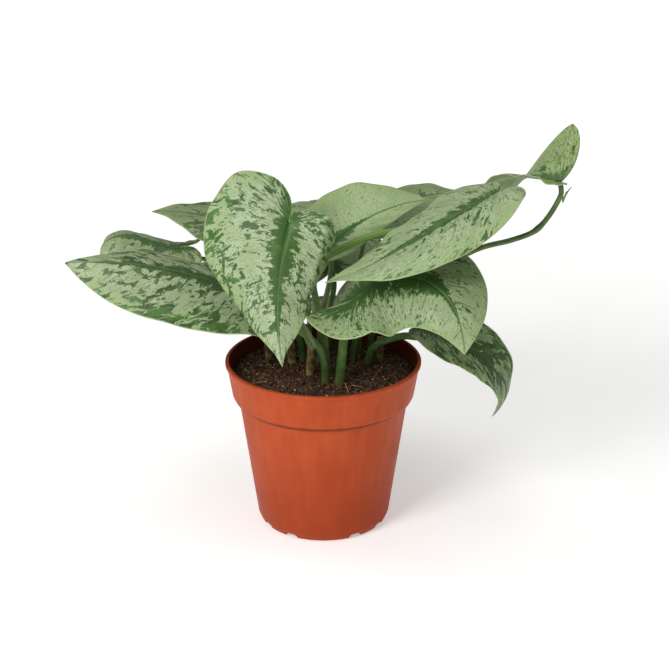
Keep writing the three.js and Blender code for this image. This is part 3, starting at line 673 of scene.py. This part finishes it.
    # Side veins: fine broken lines that fade out before the margin.
    spacing = blade["veinSpacing"] / uvUnit
    lineDistance = addNode(tree, "Math", {0: veinY, 1: spacing / 2}, operation="PINGPONG")
    line = addNode(tree, "MapRange", {
        "Value": lineDistance, "From Max": spacing * 0.07, "To Min": look["veinInk"],
        "To Max": 0.0}, **smooth)
    line = addNode(tree, "Math", {
        0: line,
        1: addNode(tree, "MapRange", {
            "Value": out, "From Min": 0.5, "From Max": 0.95, "To Min": 1.0,
            "To Max": 0.0}, **smooth)}, operation="MULTIPLY")
    line = addNode(tree, "Math", {
        0: line,
        1: addNode(tree, "MapRange", {
            "Value": feather, "From Min": 0.42, "From Max": 0.56}, **smooth)}, operation="MULTIPLY")
    dark = addNode(tree, "Math", {
        0: addNode(tree, "Math", {0: band, 1: blotch}, operation="MAXIMUM"),
        1: addNode(tree, "Math", {0: speck, 1: line}, operation="MAXIMUM")}, operation="MAXIMUM")

    # The silver is a fine frost of pale dots over green, so it is mottled close to.
    frost = addNode(tree, "TexNoise", {
        "Vector": flat, "Scale": patternScale(0.75), "Detail": 3, "Roughness": 0.7})
    silver = paintOver(tree, look["field"], look["silver"], patch, 0.35, 0.65)
    silver = paintOver(tree, silver, "#6E8552", frost, 0.4, 0.56, 0.34, 0.0)
    silver = paintOver(tree, silver, "#CDD8BC", frost, 0.52, 0.68, 0.0, 0.42)
    silver = paintOver(tree, silver, "#8FAA64", out, 0.62, 0.97, 0.0, 0.4)
    vivid = addNode(tree, "Math", {
        0: addNode(tree, "TexNoise", {"Vector": flat, "Scale": patternScale(7), "Detail": 3}),
        1: addNode(tree, "MapRange", {
            "Value": out, "From Min": 0.3, "From Max": 0.9, "To Max": 0.1}, **smooth)}, operation="ADD")
    green = paintOver(tree, look["dark"], "#446C2C", vivid, 0.52, 0.7)
    green = paintOver(tree, green, "#6F9052", frost, 0.5, 0.7, 0.0, 0.4)
    colour = addNode(tree, "Mix", {0: dark, 6: silver, 7: green}, 2, **ofColour)
    colour = paintOver(tree, colour, "#53763A", fromRib, 0.2, 0.6, 0.75, 0.0)
    colour = paintOver(tree, colour, "#ABB888", out, 0.978, 0.994, 0.0, 0.8)
    colour = paintOver(tree, colour, look.get("tip", "#B9AE70"), along, 0.97, 0.998)
    tree.links.new(colour, shader.inputs["Base Color"])
    roughness = addNode(tree, "MapRange", {"Value": dark, "To Min": 0.5, "To Max": 0.4}, **smooth)
    tree.links.new(roughness, shader.inputs["Roughness"])
    shader.inputs["IOR"].default_value = 1.45
    shader.inputs["Specular IOR Level"].default_value = 0.45
    # Pebbling of 0.8 mm is coarser than the real skin cells, so that it shows.
    bump = addNode(tree, "Bump", {
        "Height": addNode(tree, "Math", {
            0: frost,
            1: addNode(tree, "Math", {0: streak, 1: 0.6}, operation="MULTIPLY")}, operation="ADD"),
        "Distance": 0.22 * millimetre, "Strength": 0.6})
    tree.links.new(bump, shader.inputs["Normal"])
    return material


def leafUnderside():
    # The blade's back: matt, paler grey-green, with the vein net a little darker.
    material, tree, shader = newMaterial("leafUnderside")
    flatMap = addNode(tree, "UVMap", {}, uv_map="flatMap")
    veinMap = addNode(tree, "UVMap", {}, uv_map="veinMap")
    veinY = addNode(tree, "SeparateXYZ", {"Vector": veinMap}, "Y")
    flatX = addNode(tree, "SeparateXYZ", {"Vector": flatMap}, "X")
    cloud = addNode(tree, "TexNoise", {
        "Vector": addNode(tree, "Mapping", {"Vector": veinMap, "Scale": (0.4, 1, 1)}),
        "Scale": patternScale(5), "Detail": 3})
    colour = paintOver(tree, "#66774A", "#7D8E60", cloud, 0.35, 0.65)
    spacing = blade["veinSpacing"] / uvUnit
    colour = paintOver(
        tree, colour, "#4C6136", addNode(tree, "Math", {0: veinY, 1: spacing / 2}, operation="PINGPONG"),
        0.0, spacing * 0.07, 0.5, 0.0)
    colour = paintOver(
        tree, colour, "#8FA465", addNode(tree, "Math", {0: flatX}, operation="ABSOLUTE"), 0.006, 0.016,
        0.8, 0.0)
    tree.links.new(colour, shader.inputs["Base Color"])
    roughness = addNode(tree, "MapRange", {
        "Value": cloud, "From Min": 0.3, "From Max": 0.7, "To Min": 0.5, "To Max": 0.62}, **smooth)
    tree.links.new(roughness, shader.inputs["Roughness"])
    shader.inputs["IOR"].default_value = 1.45
    bump = addNode(tree, "Bump", {
        "Height": addNode(tree, "TexNoise", {"Vector": flatMap, "Scale": patternScale(0.9)}),
        "Distance": 0.12 * millimetre, "Strength": 0.4})
    tree.links.new(bump, shader.inputs["Normal"])
    return material


def leafMargin():
    # The blade's edge: a thin, pale cream-green rim that outlines each leaf.
    material, tree, shader = newMaterial("paleLeafMargin")
    flatMap = addNode(tree, "UVMap", {}, uv_map="flatMap")
    colour = addNode(tree, "Mix", {
        0: addNode(tree, "TexNoise", {"Vector": flatMap, "Scale": patternScale(4)}), 6: "#869463",
        7: "#AEB98A"}, 2, **ofColour)
    tree.links.new(colour, shader.inputs["Base Color"])
    shader.inputs["Roughness"].default_value = 0.5
    shader.inputs["IOR"].default_value = 1.45
    return material


def atThree(values, share):
    base, middle, tip = values
    s = np.clip(share, 0, 1)
    return base * (1 - s) * (1 - 2 * s) + 4 * middle * s * (1 - s) + tip * s * (2 * s - 1)


def growMidrib(leaf):
    s = np.linspace(0, 1, blade["midribSteps"] + 1)
    heading = np.radians(leaf["heading"] + leaf["turn"] * s)
    pitch = np.radians(atThree(leaf["pitch"], s))
    roll = np.radians(leaf["roll"] + leaf["twist"] * s)[:, None]
    forward = np.stack([np.cos(pitch) * np.cos(heading), np.cos(pitch) * np.sin(heading), np.sin(pitch)], 1)
    level = np.stack([-np.sin(heading), np.cos(heading), 0 * heading], 1)
    rise = np.cross(forward, level)
    left = level * np.cos(roll) - rise * np.sin(roll)
    up = rise * np.cos(roll) + level * np.sin(roll)
    steps = (forward[1:] + forward[:-1]) / 2 * leaf["length"] / blade["midribSteps"]
    points = np.array(leaf["base"], float) + np.vstack([[0, 0, 0], np.cumsum(steps, axis=0)])
    return {"point": points, "forward": forward, "left": left, "up": up}


def flatHalf(half, length, detail):
    # Rows follow the side veins from the midrib to the margin.
    fullness, flare = half.get("fullness", 1), half.get("flare", 0)
    corners = [(x ** fullness * half["width"], y * length - mix(back, flared, flare) * half["lobe"])
               for x, y, back, flared in halfOutline]
    rows, columns = detail["rows"], detail["columns"]
    margin, marginLength = evenPoints(splineThrough(corners, detail["outlineSteps"]), rows + 1)
    t = np.linspace(0, 1, rows + 1)
    start = np.clip((t - detail["veinSplit"]) / (1 - detail["veinSplit"]), 0, 1)
    start = start ** detail["veinCrowding"] * length
    bow = detail["veinBow"] * np.minimum(1, np.minimum(t * 4, (1 - t) * 6))
    endX, endY = margin[:, 0], margin[:, 1]
    middleX = endX / 2 + (endY - start) * bow
    middleY = (start + endY) / 2 - endX * bow
    q = np.linspace(0, 1, columns + 1)[None, :] ** detail["columnEase"]
    x = 2 * q * (1 - q) * middleX[:, None] + q ** 2 * endX[:, None]
    y = (1 - q) ** 2 * start[:, None] + 2 * q * (1 - q) * middleY[:, None] + q ** 2 * endY[:, None]
    veinLength = np.hypot(endX, endY - start)[:, None]
    return {"x": np.maximum(0, x), "y": y, "q": q + 0 * x, "t": t[:, None] + 0 * x,
            "veinLength": veinLength + 0 * x, "marginLength": marginLength}


def bendHalf(frames, leaf, half, side, flat, detail):
    x, y = flat["x"], flat["y"]
    share = y / leaf["length"]
    place = np.clip(share, 0, 1) * detail["midribSteps"]
    first = np.minimum(place.astype(int), detail["midribSteps"] - 1)
    part = (place - first)[..., None]
    at = {key: rows[first] * (1 - part) + rows[first + 1] * part for key, rows in frames.items()}
    back = np.minimum(y, 0)
    lobeTurn = np.radians(half.get("lobeBend", 0)) * np.minimum(1, -back / half["lobe"])
    fold = atThree(half["fold"], share)
    crease = half.get("crease", {"at": 1, "width": 1, "angle": 0})
    out = np.zeros_like(x)
    rise = np.zeros_like(x)
    for k in range(detail["bendSteps"] + 1):
        portion = min(1, (k + 0.5) / detail["bendSteps"])
        reach = portion * x / half["width"]
        creased = np.clip((reach - crease["at"]) / crease["width"] + 0.5, 0, 1)
        angle = np.radians(fold + half["curl"] * reach + crease["angle"] * creased)
        if k < detail["bendSteps"]:
            out += np.cos(angle) * x / detail["bendSteps"]
            rise += np.sin(angle) * x / detail["bendSteps"]
    lift = surfaceLift(leaf, side, flat, detail)
    out -= np.sin(angle) * lift * np.minimum(1, x)
    rise += np.cos(angle) * lift
    return (at["point"] + at["forward"] * (back * np.cos(lobeTurn))[..., None]
            + at["up"] * (rise - back * np.sin(lobeTurn))[..., None]
            + at["left"] * (out * side)[..., None])


def surfaceLift(leaf, side, flat, detail):
    # The blade domes between its side veins, sinks along the midrib and waves at the margin.
    q, t, x = flat["q"], flat["t"], flat["x"]
    taper = np.clip((1 - flat["y"] / leaf["length"]) * 3, 0, 1)
    groove = -detail["grooveDepth"] * np.exp(-(x / detail["grooveWidth"]) ** 2) * taper
    phase = t * flat["marginLength"] / detail["veinSpacing"] * math.pi
    inside = np.clip(q * 4, 0, 1) * np.clip((1 - q) * 3, 0, 1) * taper
    dome = detail["quilt"] * (np.abs(np.sin(phase)) ** detail["quiltRound"] - 0.6) * inside
    swing = leaf["look"]["seed"] + side
    wave = detail["wave"] * q ** 3 * np.sin(2 * math.pi * detail["waves"] * t + swing)
    rippleTurn = 2 * math.pi * detail["waves"] * detail["rippleRate"] * t + swing * 3
    wave += detail["ripple"] * detail["wave"] * q ** 2 * np.sin(rippleTurn)
    return groove + dome + wave * np.clip(t * 8, 0, 1) * np.clip((1 - t) * 5, 0, 1)


def buildLeaf(name, leaf, materials, node, slot, detail=blade):
    frames = growMidrib(leaf)
    vertices, faces = [], []
    maps = {"flatMap": [], "veinMap": [], "shareMap": []}
    width = detail["columns"] + 1
    for key, side in (("left", 1), ("right", -1)):
        half = leaf[key]
        flat = flatHalf(half, leaf["length"], detail)
        first = len(vertices)
        vertices += list(bendHalf(frames, leaf, half, side, flat, detail).reshape(-1, 3))
        x, y, q, t = (flat[k].ravel() for k in ("x", "y", "q", "t"))
        veinOut = q * flat["veinLength"].ravel()
        veinAlong = t * flat["marginLength"] + (0 if side > 0 else 3 * flat["marginLength"])
        maps["flatMap"] += list(zip(side * x / uvUnit, y / uvUnit))
        maps["veinMap"] += list(zip(veinOut / uvUnit, veinAlong / uvUnit))
        maps["shareMap"] += list(zip(q, y / leaf["length"]))
        for i in range(detail["rows"]):
            for j in range(detail["columns"]):
                a = first + i * width + j
                corners = (a, a + width, a + width + 1, a + 1)
                faces.append(corners if side > 0 else corners[::-1])
    uvMaps = {key: cornerValues(values, faces) for key, values in maps.items()}
    piece = makePiece(name, vertices, faces, materials, node, slot, uvMaps)
    skin = piece.modifiers.new("bladeThickness", "SOLIDIFY")
    skin.thickness = detail["thickness"] * millimetre
    skin.offset = 0
    skin.material_offset = 1
    skin.material_offset_rim = 2


underside = leafUnderside()
margin = leafMargin()
for leafName, leaf in leaves.items():
    topFace = silverLeafTop(leafName, leaf["look"])
    buildLeaf(f"blade_{leafName}", leaf, [topFace, underside, margin], f"leaf_{leafName}", "leaf")

print("stalks: channelled, swollen at both ends")
soil = {"top": 88, "rooting": 14}
stalkShape = {
    "bendDepth": 5, "bendBack": 1.5, "spacing": 1.6, "channel": 0.16, "taper": 0.16,
    "baseSwell": 0.3, "baseReach": 0.16, "kneeSwell": 0.16, "kneeAt": 0.95, "kneeReach": 0.05,
    "gap": 0.2,  # between a stalk's end and its blade's groove
}


def succulentStem(name, lower, middle, upper, soak, young=None):
    # Smooth, juicy stem: satin green with fine lengthwise fibres, browner where it leaves the mix and
    # a fresher green where it is young, near the leaf.
    material, tree, shader = newMaterial(name)
    stemMap = addNode(tree, "UVMap", {}, uv_map="stemMap")
    place = addNode(tree, "TexCoord", {}, "Object")
    height = addNode(tree, "SeparateXYZ", {"Vector": place}, "Z")
    fibre = addNode(tree, "TexNoise", {
        "Vector": addNode(tree, "Mapping", {"Vector": stemMap, "Scale": (1, 0.08, 1)}),
        "Scale": patternScale(0.9), "Detail": 3})
    cloud = addNode(tree, "TexNoise", {"Vector": stemMap, "Scale": patternScale(6), "Detail": 3})
    colour = paintOver(tree, middle, upper, cloud, 0.35, 0.65)
    if young:
        colour = paintOver(tree, colour, young, height, 0.135, 0.165)
    foot, top = soil["top"] * millimetre, (soil["top"] + soak) * millimetre
    soaked = addNode(tree, "Math", {
        0: height, 1: addNode(tree, "Math", {0: cloud, 1: 0.01}, operation="MULTIPLY")}, operation="ADD")
    colour = paintOver(tree, colour, lower, soaked, foot + 0.003, top + 0.006, 0.9, 0.0)
    colour = paintOver(tree, colour, upper, fibre, 0.45, 0.7, 0.0, 0.4)
    tree.links.new(colour, shader.inputs["Base Color"])
    roughness = addNode(tree, "MapRange", {
        "Value": fibre, "From Min": 0.3, "From Max": 0.7, "To Min": 0.34, "To Max": 0.46}, **smooth)
    tree.links.new(roughness, shader.inputs["Roughness"])
    shader.inputs["IOR"].default_value = 1.45
    bump = addNode(tree, "Bump", {"Height": fibre, "Distance": 0.12 * millimetre, "Strength": 0.5})
    tree.links.new(bump, shader.inputs["Normal"])
    return material


petioleSkin = succulentStem("leafStalkSkin", "#54532A", "#42602A", "#5E7E40", 8, "#5F8233")
vineSkin = succulentStem("vineSkin", "#5E5A2C", "#3F5A26", "#587537", 6)


def rootedPoints(path):
    (footX, footY), *rest = path
    return [(footX, footY, soil["top"] - soil["rooting"])] + [tuple(p) for p in rest]


def stalkPoints(leaf, path):
    frames = growMidrib(leaf)
    forward, up = frames["forward"][0], frames["up"][0]
    base = np.array(leaf["base"], float)
    bend = base - up * stalkShape["bendDepth"] - forward * stalkShape["bendBack"]
    meeting = base - up * (blade["grooveDepth"] + stalkShape["gap"])
    return curveThrough(rootedPoints(path) + [bend, meeting], stalkShape["spacing"])


def stalkRadius(radius, share):
    swollenFoot = stalkShape["baseSwell"] * math.exp(-(share / stalkShape["baseReach"]) ** 2)
    fromKnee = (share - stalkShape["kneeAt"]) / stalkShape["kneeReach"]
    knee = stalkShape["kneeSwell"] * math.exp(-fromKnee ** 2)
    return radius * (1 + swollenFoot + knee - stalkShape["taper"] * share)


for leafName, leaf in leaves.items():
    if "stalk" in leaf:
        radius, path = leaf["stalk"]
        sweepRod(f"petiole_{leafName}", stalkPoints(leaf, path), lambda s, r=radius: stalkRadius(r, s),
                 petioleSkin, f"stalk_{leafName}", "stalk", channel=stalkShape["channel"])

vine = {
    "radius": 1.5, "footSwell": 0.08, "taper": 0.14,
    "nodes": (0.36, 0.62, 0.84), "nodeSwell": 0.22, "nodeWidth": 0.014,
    "path": ((15, 9), (19, 10, 106), (34, 10, 127), (60, 9, 144), (86, 8, 156.5), (102, 6, 161.5),
             (114, 5, 167), (121.5, 5, 176), (127, 5.5, 187)),
}


def vineRadius(share):
    swell = sum(math.exp(-((share - at) / vine["nodeWidth"]) ** 2) for at in vine["nodes"])
    return vine["radius"] * (1 + vine["footSwell"] - vine["taper"] * share + vine["nodeSwell"] * swell)


vinePoints = stalkPoints(leaves["vine_tip"], vine["path"])
sweepRod("climbingVine", vinePoints, vineRadius, vineSkin, "vine", "stalk")

print("dry sheaths and cut stubs")
husks = {
    "front": {"base": (-5, -27, 112), "heading": 140, "pitch": (60, 55, 50), "length": 20, "width": 2.6,
              "roll": 60},
    "vine": {"base": (128.7, 6.2, 183), "heading": 20, "pitch": (75, 60, 50), "length": 9, "width": 1.8,
             "roll": 40},
}
huskHalf = {"lobe": 0.5, "fold": (25, 25, 20), "curl": 0}
huskBlade = dict(blade, thickness=0.3, rows=30, columns=8, grooveDepth=0.1, quilt=0.05, wave=0.25)
stubs = (  # foot, top, radius
    ((-30, 18), (-31, 17, 99), 2.4), ((-17, 9), (-18, 9, 103), 2.6), ((31, 16), (32, 16, 101), 2.3),
    ((-8, -6), (-6, -9, 110), 2.4),
)


def papery():
    # Dried bud sheath: thin and papery, grey-green going to straw, ribbed lengthwise.
    material, tree, shader = newMaterial("driedSheath")
    flatMap = addNode(tree, "UVMap", {}, uv_map="flatMap")
    ribs = addNode(tree, "TexNoise", {
        "Vector": addNode(tree, "Mapping", {"Vector": flatMap, "Scale": (1, 0.08, 1)}),
        "Scale": patternScale(0.7)})
    colour = paintOver(tree, "#566A3A", "#7F9160", ribs, 0.35, 0.65)
    tree.links.new(colour, shader.inputs["Base Color"])
    shader.inputs["Roughness"].default_value = 0.65
    bump = addNode(tree, "Bump", {"Height": ribs, "Distance": 0.15 * millimetre, "Strength": 0.6})
    tree.links.new(bump, shader.inputs["Normal"])
    return material


def cutStem():
    # Old cut stem: corky tan bark with darker rings and lengthwise wrinkles.
    material, tree, shader = newMaterial("corkyCutStem")
    stemMap = addNode(tree, "UVMap", {}, uv_map="stemMap")
    wrinkle = addNode(tree, "TexNoise", {
        "Vector": addNode(tree, "Mapping", {"Vector": stemMap, "Scale": (1, 0.2, 1)}),
        "Scale": patternScale(0.9), "Detail": 3})
    cloud = addNode(tree, "TexNoise", {"Vector": stemMap, "Scale": patternScale(3), "Detail": 3})
    colour = paintOver(tree, "#6B5A2C", "#A8925A", cloud, 0.35, 0.65)
    colour = paintOver(tree, colour, "#4A3A1E", wrinkle, 0.45, 0.7, 0, 0.7)
    tree.links.new(colour, shader.inputs["Base Color"])
    shader.inputs["Roughness"].default_value = 0.8
    bump = addNode(tree, "Bump", {"Height": wrinkle, "Distance": 0.3 * millimetre, "Strength": 0.7})
    tree.links.new(bump, shader.inputs["Normal"])
    return material


sheathSkin = papery()
for huskName, husk in husks.items():
    half = dict(huskHalf, width=husk["width"])
    grown = dict(husk, turn=0, twist=0, left=half, right=half, look={"seed": 2.0})
    buildLeaf(f"sheath_{huskName}", grown, [sheathSkin] * 3, f"husk_{huskName}", "dry_sheath", huskBlade)

stubSkin = cutStem()
for number, (foot, top, radius) in enumerate(stubs, 1):
    points = curveThrough(rootedPoints([foot, top]), 1.0)
    sweepRod(f"cutStub_{number}", points,
             lambda s, r=radius: r * (1.08 - 0.2 * s + 0.05 * math.sin(s * 40)), stubSkin,
             f"stub_{number}", "cut_stem", sides=24, channel=0.12, domes=(0.3, -0.35))

print("potting mix: uneven peat with crumbs, fibres and grit")
mixture = {
    "edgeGap": 0.35, "wallGap": 0.4, "heelGap": 2, "rings": 52, "segments": 168,
    "clodSize": 9, "clodRise": 1.5, "crumbSize": 2.2, "crumbRise": 0.55, "sunk": 0.5, "edgeDrop": 0.9,
    "mound": 1.4, "moundAt": (4, 2), "moundSpread": 620,
}
# Loose lumps and strands on the bed. Sizes, lengths, radii and arches in mm; rounding is how finely a
# lump is faceted and squash how flat it lies.
lumps = {
    "barkCrumbs": {"count": 2300, "sizes": (0.3, 1.35), "squash": 0.8, "rounding": 1, "seed": 5},
    "barkChips": {"count": 70, "sizes": (1.0, 2.4), "squash": 0.45, "rounding": 2, "seed": 13},
    "paleGrit": {"count": 150, "sizes": (0.25, 0.6), "squash": 0.7, "rounding": 2, "seed": 9},
}
strands = {
    "peatFibres": {"count": 260, "lengths": (3, 8), "radius": 0.16, "arch": 0.8, "seed": 21},
    "fineRoots": {"count": 16, "lengths": (7, 15), "radius": 0.18, "arch": 2.6, "seed": 33},
}


def collarInside(height):
    share = (height - collarInnerFoot) / (pot["height"] - collarInnerFoot)
    return mix(pot["collarFootRadius"] - pot["wall"], pot["rimRadius"] - pot["lipStep"] - pot["wall"], share)


def soilHeight(x, y):
    edge = collarInside(soil["top"]) - mixture["edgeGap"]
    inward = min(1, math.hypot(x, y) / edge)
    clods = noise.fractal(Vector((x / mixture["clodSize"], y / mixture["clodSize"], 4.2)), 1.0, 2.1, 4)
    crumbs = noise.fractal(Vector((x / mixture["crumbSize"], y / mixture["crumbSize"], 9.1)), 0.9, 2.0, 3)
    rough = clods * mixture["clodRise"] + crumbs * mixture["crumbRise"]
    moundX, moundY = mixture["moundAt"]
    mound = mixture["mound"] * math.exp(-((x - moundX) ** 2 + (y - moundY) ** 2) / mixture["moundSpread"])
    level = soil["top"] - mixture["edgeDrop"] * inward ** 6 + mound - mixture["sunk"]
    return level + rough * (1 - 0.45 * inward ** 8)


def peat():
    # Moist sphagnum peat: nearly black-brown clods with rusty fibre and a few dull highlights.
    material, tree, shader = newMaterial("moistPeat")
    place = addNode(tree, "TexCoord", {}, "Object")
    bodyMap = addNode(tree, "Mapping", {"Vector": place, "Scale": bodyScale})
    clod = addNode(tree, "TexNoise", {
        "Vector": bodyMap, "Scale": patternScale(4.5), "Detail": 4, "Roughness": 0.6})
    crumb = addNode(tree, "TexNoise", {
        "Vector": bodyMap, "Scale": patternScale(1.1), "Detail": 3, "Roughness": 0.65})
    rust = addNode(tree, "TexNoise", {
        "Vector": bodyMap, "Scale": patternScale(2.0), "Detail": 3, "Roughness": 0.6, "Distortion": 0.8})
    colour = paintOver(tree, "#150A05", "#3E2414", clod, 0.35, 0.65)
    colour = paintOver(tree, colour, "#5A3620", crumb, 0.48, 0.7, 0, 0.75)
    colour = paintOver(tree, colour, "#8A5A34", rust, 0.6, 0.72, 0, 0.7)
    tree.links.new(colour, shader.inputs["Base Color"])
    roughness = addNode(tree, "MapRange", {
        "Value": crumb, "From Min": 0.35, "From Max": 0.65, "To Min": 0.55, "To Max": 0.92}, **smooth)
    tree.links.new(roughness, shader.inputs["Roughness"])
    bump = addNode(tree, "Bump", {
        "Height": addNode(tree, "Math", {0: clod, 1: crumb}, operation="ADD"),
        "Distance": 0.9 * millimetre, "Strength": 1.0})
    tree.links.new(bump, shader.inputs["Normal"])
    return material


def crumbBark():
    # Composted bark and peat crumbs, from near black to reddish brown, each one its own shade.
    material, tree, shader = newMaterial("barkCrumb")
    place = addNode(tree, "TexCoord", {}, "Object")
    bodyMap = addNode(tree, "Mapping", {"Vector": place, "Scale": bodyScale})
    shade = addNode(tree, "TexNoise", {"Vector": bodyMap, "Scale": patternScale(1.7), "Detail": 1})
    skin = addNode(tree, "TexNoise", {"Vector": bodyMap, "Scale": patternScale(0.7), "Detail": 3})
    colour = paintOver(tree, "#120804", "#5E371E", shade, 0.38, 0.62)
    # The tan flecks on the crumb skin are partly bark colour and partly painted highlight.
    colour = paintOver(tree, colour, "#A87040", skin, 0.5, 0.72, 0, 0.6)
    tree.links.new(colour, shader.inputs["Base Color"])
    roughness = addNode(tree, "MapRange", {
        "Value": skin, "From Min": 0.3, "From Max": 0.7, "To Min": 0.34, "To Max": 0.8}, **smooth)
    tree.links.new(roughness, shader.inputs["Roughness"])
    bump = addNode(tree, "Bump", {"Height": skin, "Distance": 0.35 * millimetre, "Strength": 0.8})
    tree.links.new(bump, shader.inputs["Normal"])
    return material


def looseMatter(name, low, high, rough):
    # Washed grit, dry coir thread or a live root: dull, each shaded between two colours of its own.
    material, tree, shader = newMaterial(name)
    place = addNode(tree, "TexCoord", {}, "Object")
    bodyMap = addNode(tree, "Mapping", {"Vector": place, "Scale": bodyScale})
    shade = addNode(tree, "TexNoise", {"Vector": bodyMap, "Scale": patternScale(6)})
    colour = paintOver(tree, low, high, shade, 0.35, 0.65)
    tree.links.new(colour, shader.inputs["Base Color"])
    shader.inputs["Roughness"].default_value = rough
    bump = addNode(tree, "Bump", {
        "Height": addNode(tree, "TexNoise", {"Vector": bodyMap, "Scale": patternScale(0.6)}),
        "Distance": 0.1 * millimetre, "Strength": 0.5})
    tree.links.new(bump, shader.inputs["Normal"])
    return material


def buildSoil():
    edge = collarInside(soil["top"]) - mixture["edgeGap"]
    vertices, faces = [], []
    segments = mixture["segments"]
    radii = [edge * (k / mixture["rings"]) ** 0.8 for k in range(mixture["rings"] + 1)]
    wall = pot["wall"] + mixture["wallGap"]
    below = [
        (pot["collarFootRadius"] - wall, collarInnerFoot), (pot["neckRadius"] - wall, neckHeight),
        (pot["heelRadius"] - wall, pot["heelHeight"]),
        (pot["footRadius"] - pot["wall"] - mixture["heelGap"], wall), (0, wall),
    ]
    for i in range(segments + 1):
        angle = i % segments / segments * 2 * math.pi
        for r in radii:
            x, y = r * math.cos(angle), r * math.sin(angle)
            vertices.append((x, y, soilHeight(x, y)))
        vertices += [(r * math.cos(angle), r * math.sin(angle), z) for r, z in below]
    count = len(radii) + len(below)
    for i in range(segments):
        for j in range(count - 1):
            a = i * count + j
            faces.append((a, a + 1, a + count + 1, a + count))
    return makePiece("peatBed", vertices, faces, [peat()], "potting_mix", "potting_mix")


def scatterPlace(dice, keep):
    edge = collarInside(soil["top"]) - mixture["edgeGap"] - keep
    r, angle = edge * math.sqrt(dice.random()), dice.uniform(0, 2 * math.pi)
    x, y = r * math.cos(angle), r * math.sin(angle)
    return Vector((x, y, soilHeight(x, y)))


def scatterLumps(name, material):
    lot = lumps[name]
    smallest, largest = lot["sizes"]
    dice = random.Random(lot["seed"])
    ball = bmesh.new()
    bmesh.ops.create_icosphere(ball, subdivisions=lot["rounding"], radius=1)
    corners = [v.co.copy() for v in ball.verts]
    triangles = [tuple(v.index for v in f.verts) for f in ball.faces]
    ball.free()
    vertices, faces = [], []
    for _ in range(lot["count"]):
        size = smallest + (largest - smallest) * dice.random() ** 2.2  # most are small
        centre = scatterPlace(dice, size)
        turn = Vector((dice.random(), dice.random(), dice.random())) * 40
        spin = dice.uniform(0, math.pi)
        long = dice.uniform(0.8, 1.5)
        first = len(vertices)
        for corner in corners:
            dents = 0.7 * noise.noise(corner * 1.7 + turn) + 0.4 * noise.noise(corner * 4 + turn)
            lump = corner * (1 + dents)
            x, y = lump.x * long, lump.y
            vertices.append((
                centre.x + size * (x * math.cos(spin) - y * math.sin(spin)),
                centre.y + size * (x * math.sin(spin) + y * math.cos(spin)),
                centre.z + size * (lump.z + 0.2) * lot["squash"]))
        faces += [tuple(first + k for k in t) for t in triangles]
    return makePiece(name, vertices, faces, [material], None, "potting_mix")


def scatterStrands(name, material):
    lot = strands[name]
    dice = random.Random(lot["seed"])
    steps, sides = 8, 5
    vertices, faces = [], []
    for _ in range(lot["count"]):
        length = dice.uniform(*lot["lengths"])
        start = scatterPlace(dice, length * 0.6 + 1)
        heading, bend = dice.uniform(0, 2 * math.pi), dice.uniform(-1.2, 1.2)
        radius = lot["radius"] * dice.uniform(0.6, 1.3)
        arch = dice.uniform(0.1, lot["arch"])
        spot = start.copy()
        first = len(vertices)
        for k in range(steps + 1):
            s = k / steps
            if k:
                spot.x += math.cos(heading + bend * s) * length / steps
                spot.y += math.sin(heading + bend * s) * length / steps
            ground = soilHeight(spot.x, spot.y)
            height = ground + 0.15 + arch * math.sin(math.pi * s)
            across = Vector((-math.sin(heading + bend * s), math.cos(heading + bend * s), 0))
            thin = radius * (1 - 0.7 * s)
            for turn in range(sides):
                angle = turn / sides * 2 * math.pi
                vertices.append(Vector((spot.x, spot.y, height)) + across * math.cos(angle) * thin
                                + Vector((0, 0, math.sin(angle) * thin)))
        for k in range(steps):
            for turn in range(sides):
                a, b = first + k * sides + turn, first + k * sides + (turn + 1) % sides
                faces.append((a, a + sides, b + sides, b))
        faces.append(tuple(first + turn for turn in range(sides)))
        faces.append(tuple(first + steps * sides + turn for turn in reversed(range(sides))))
    return makePiece(name, vertices, faces, [material], None, "potting_mix")


buildSoil()
barkSkin = crumbBark()
scatterLumps("barkCrumbs", barkSkin)
scatterLumps("barkChips", barkSkin)
scatterLumps("paleGrit", looseMatter("quartzGrit", "#8D7F66", "#D8CDB2", 0.5))
scatterStrands("peatFibres", looseMatter("cocoFibre", "#5B3A22", "#9A6A3C", 0.7))
scatterStrands("fineRoots", looseMatter("paleRoot", "#9A6B48", "#C9A07A", 0.6))
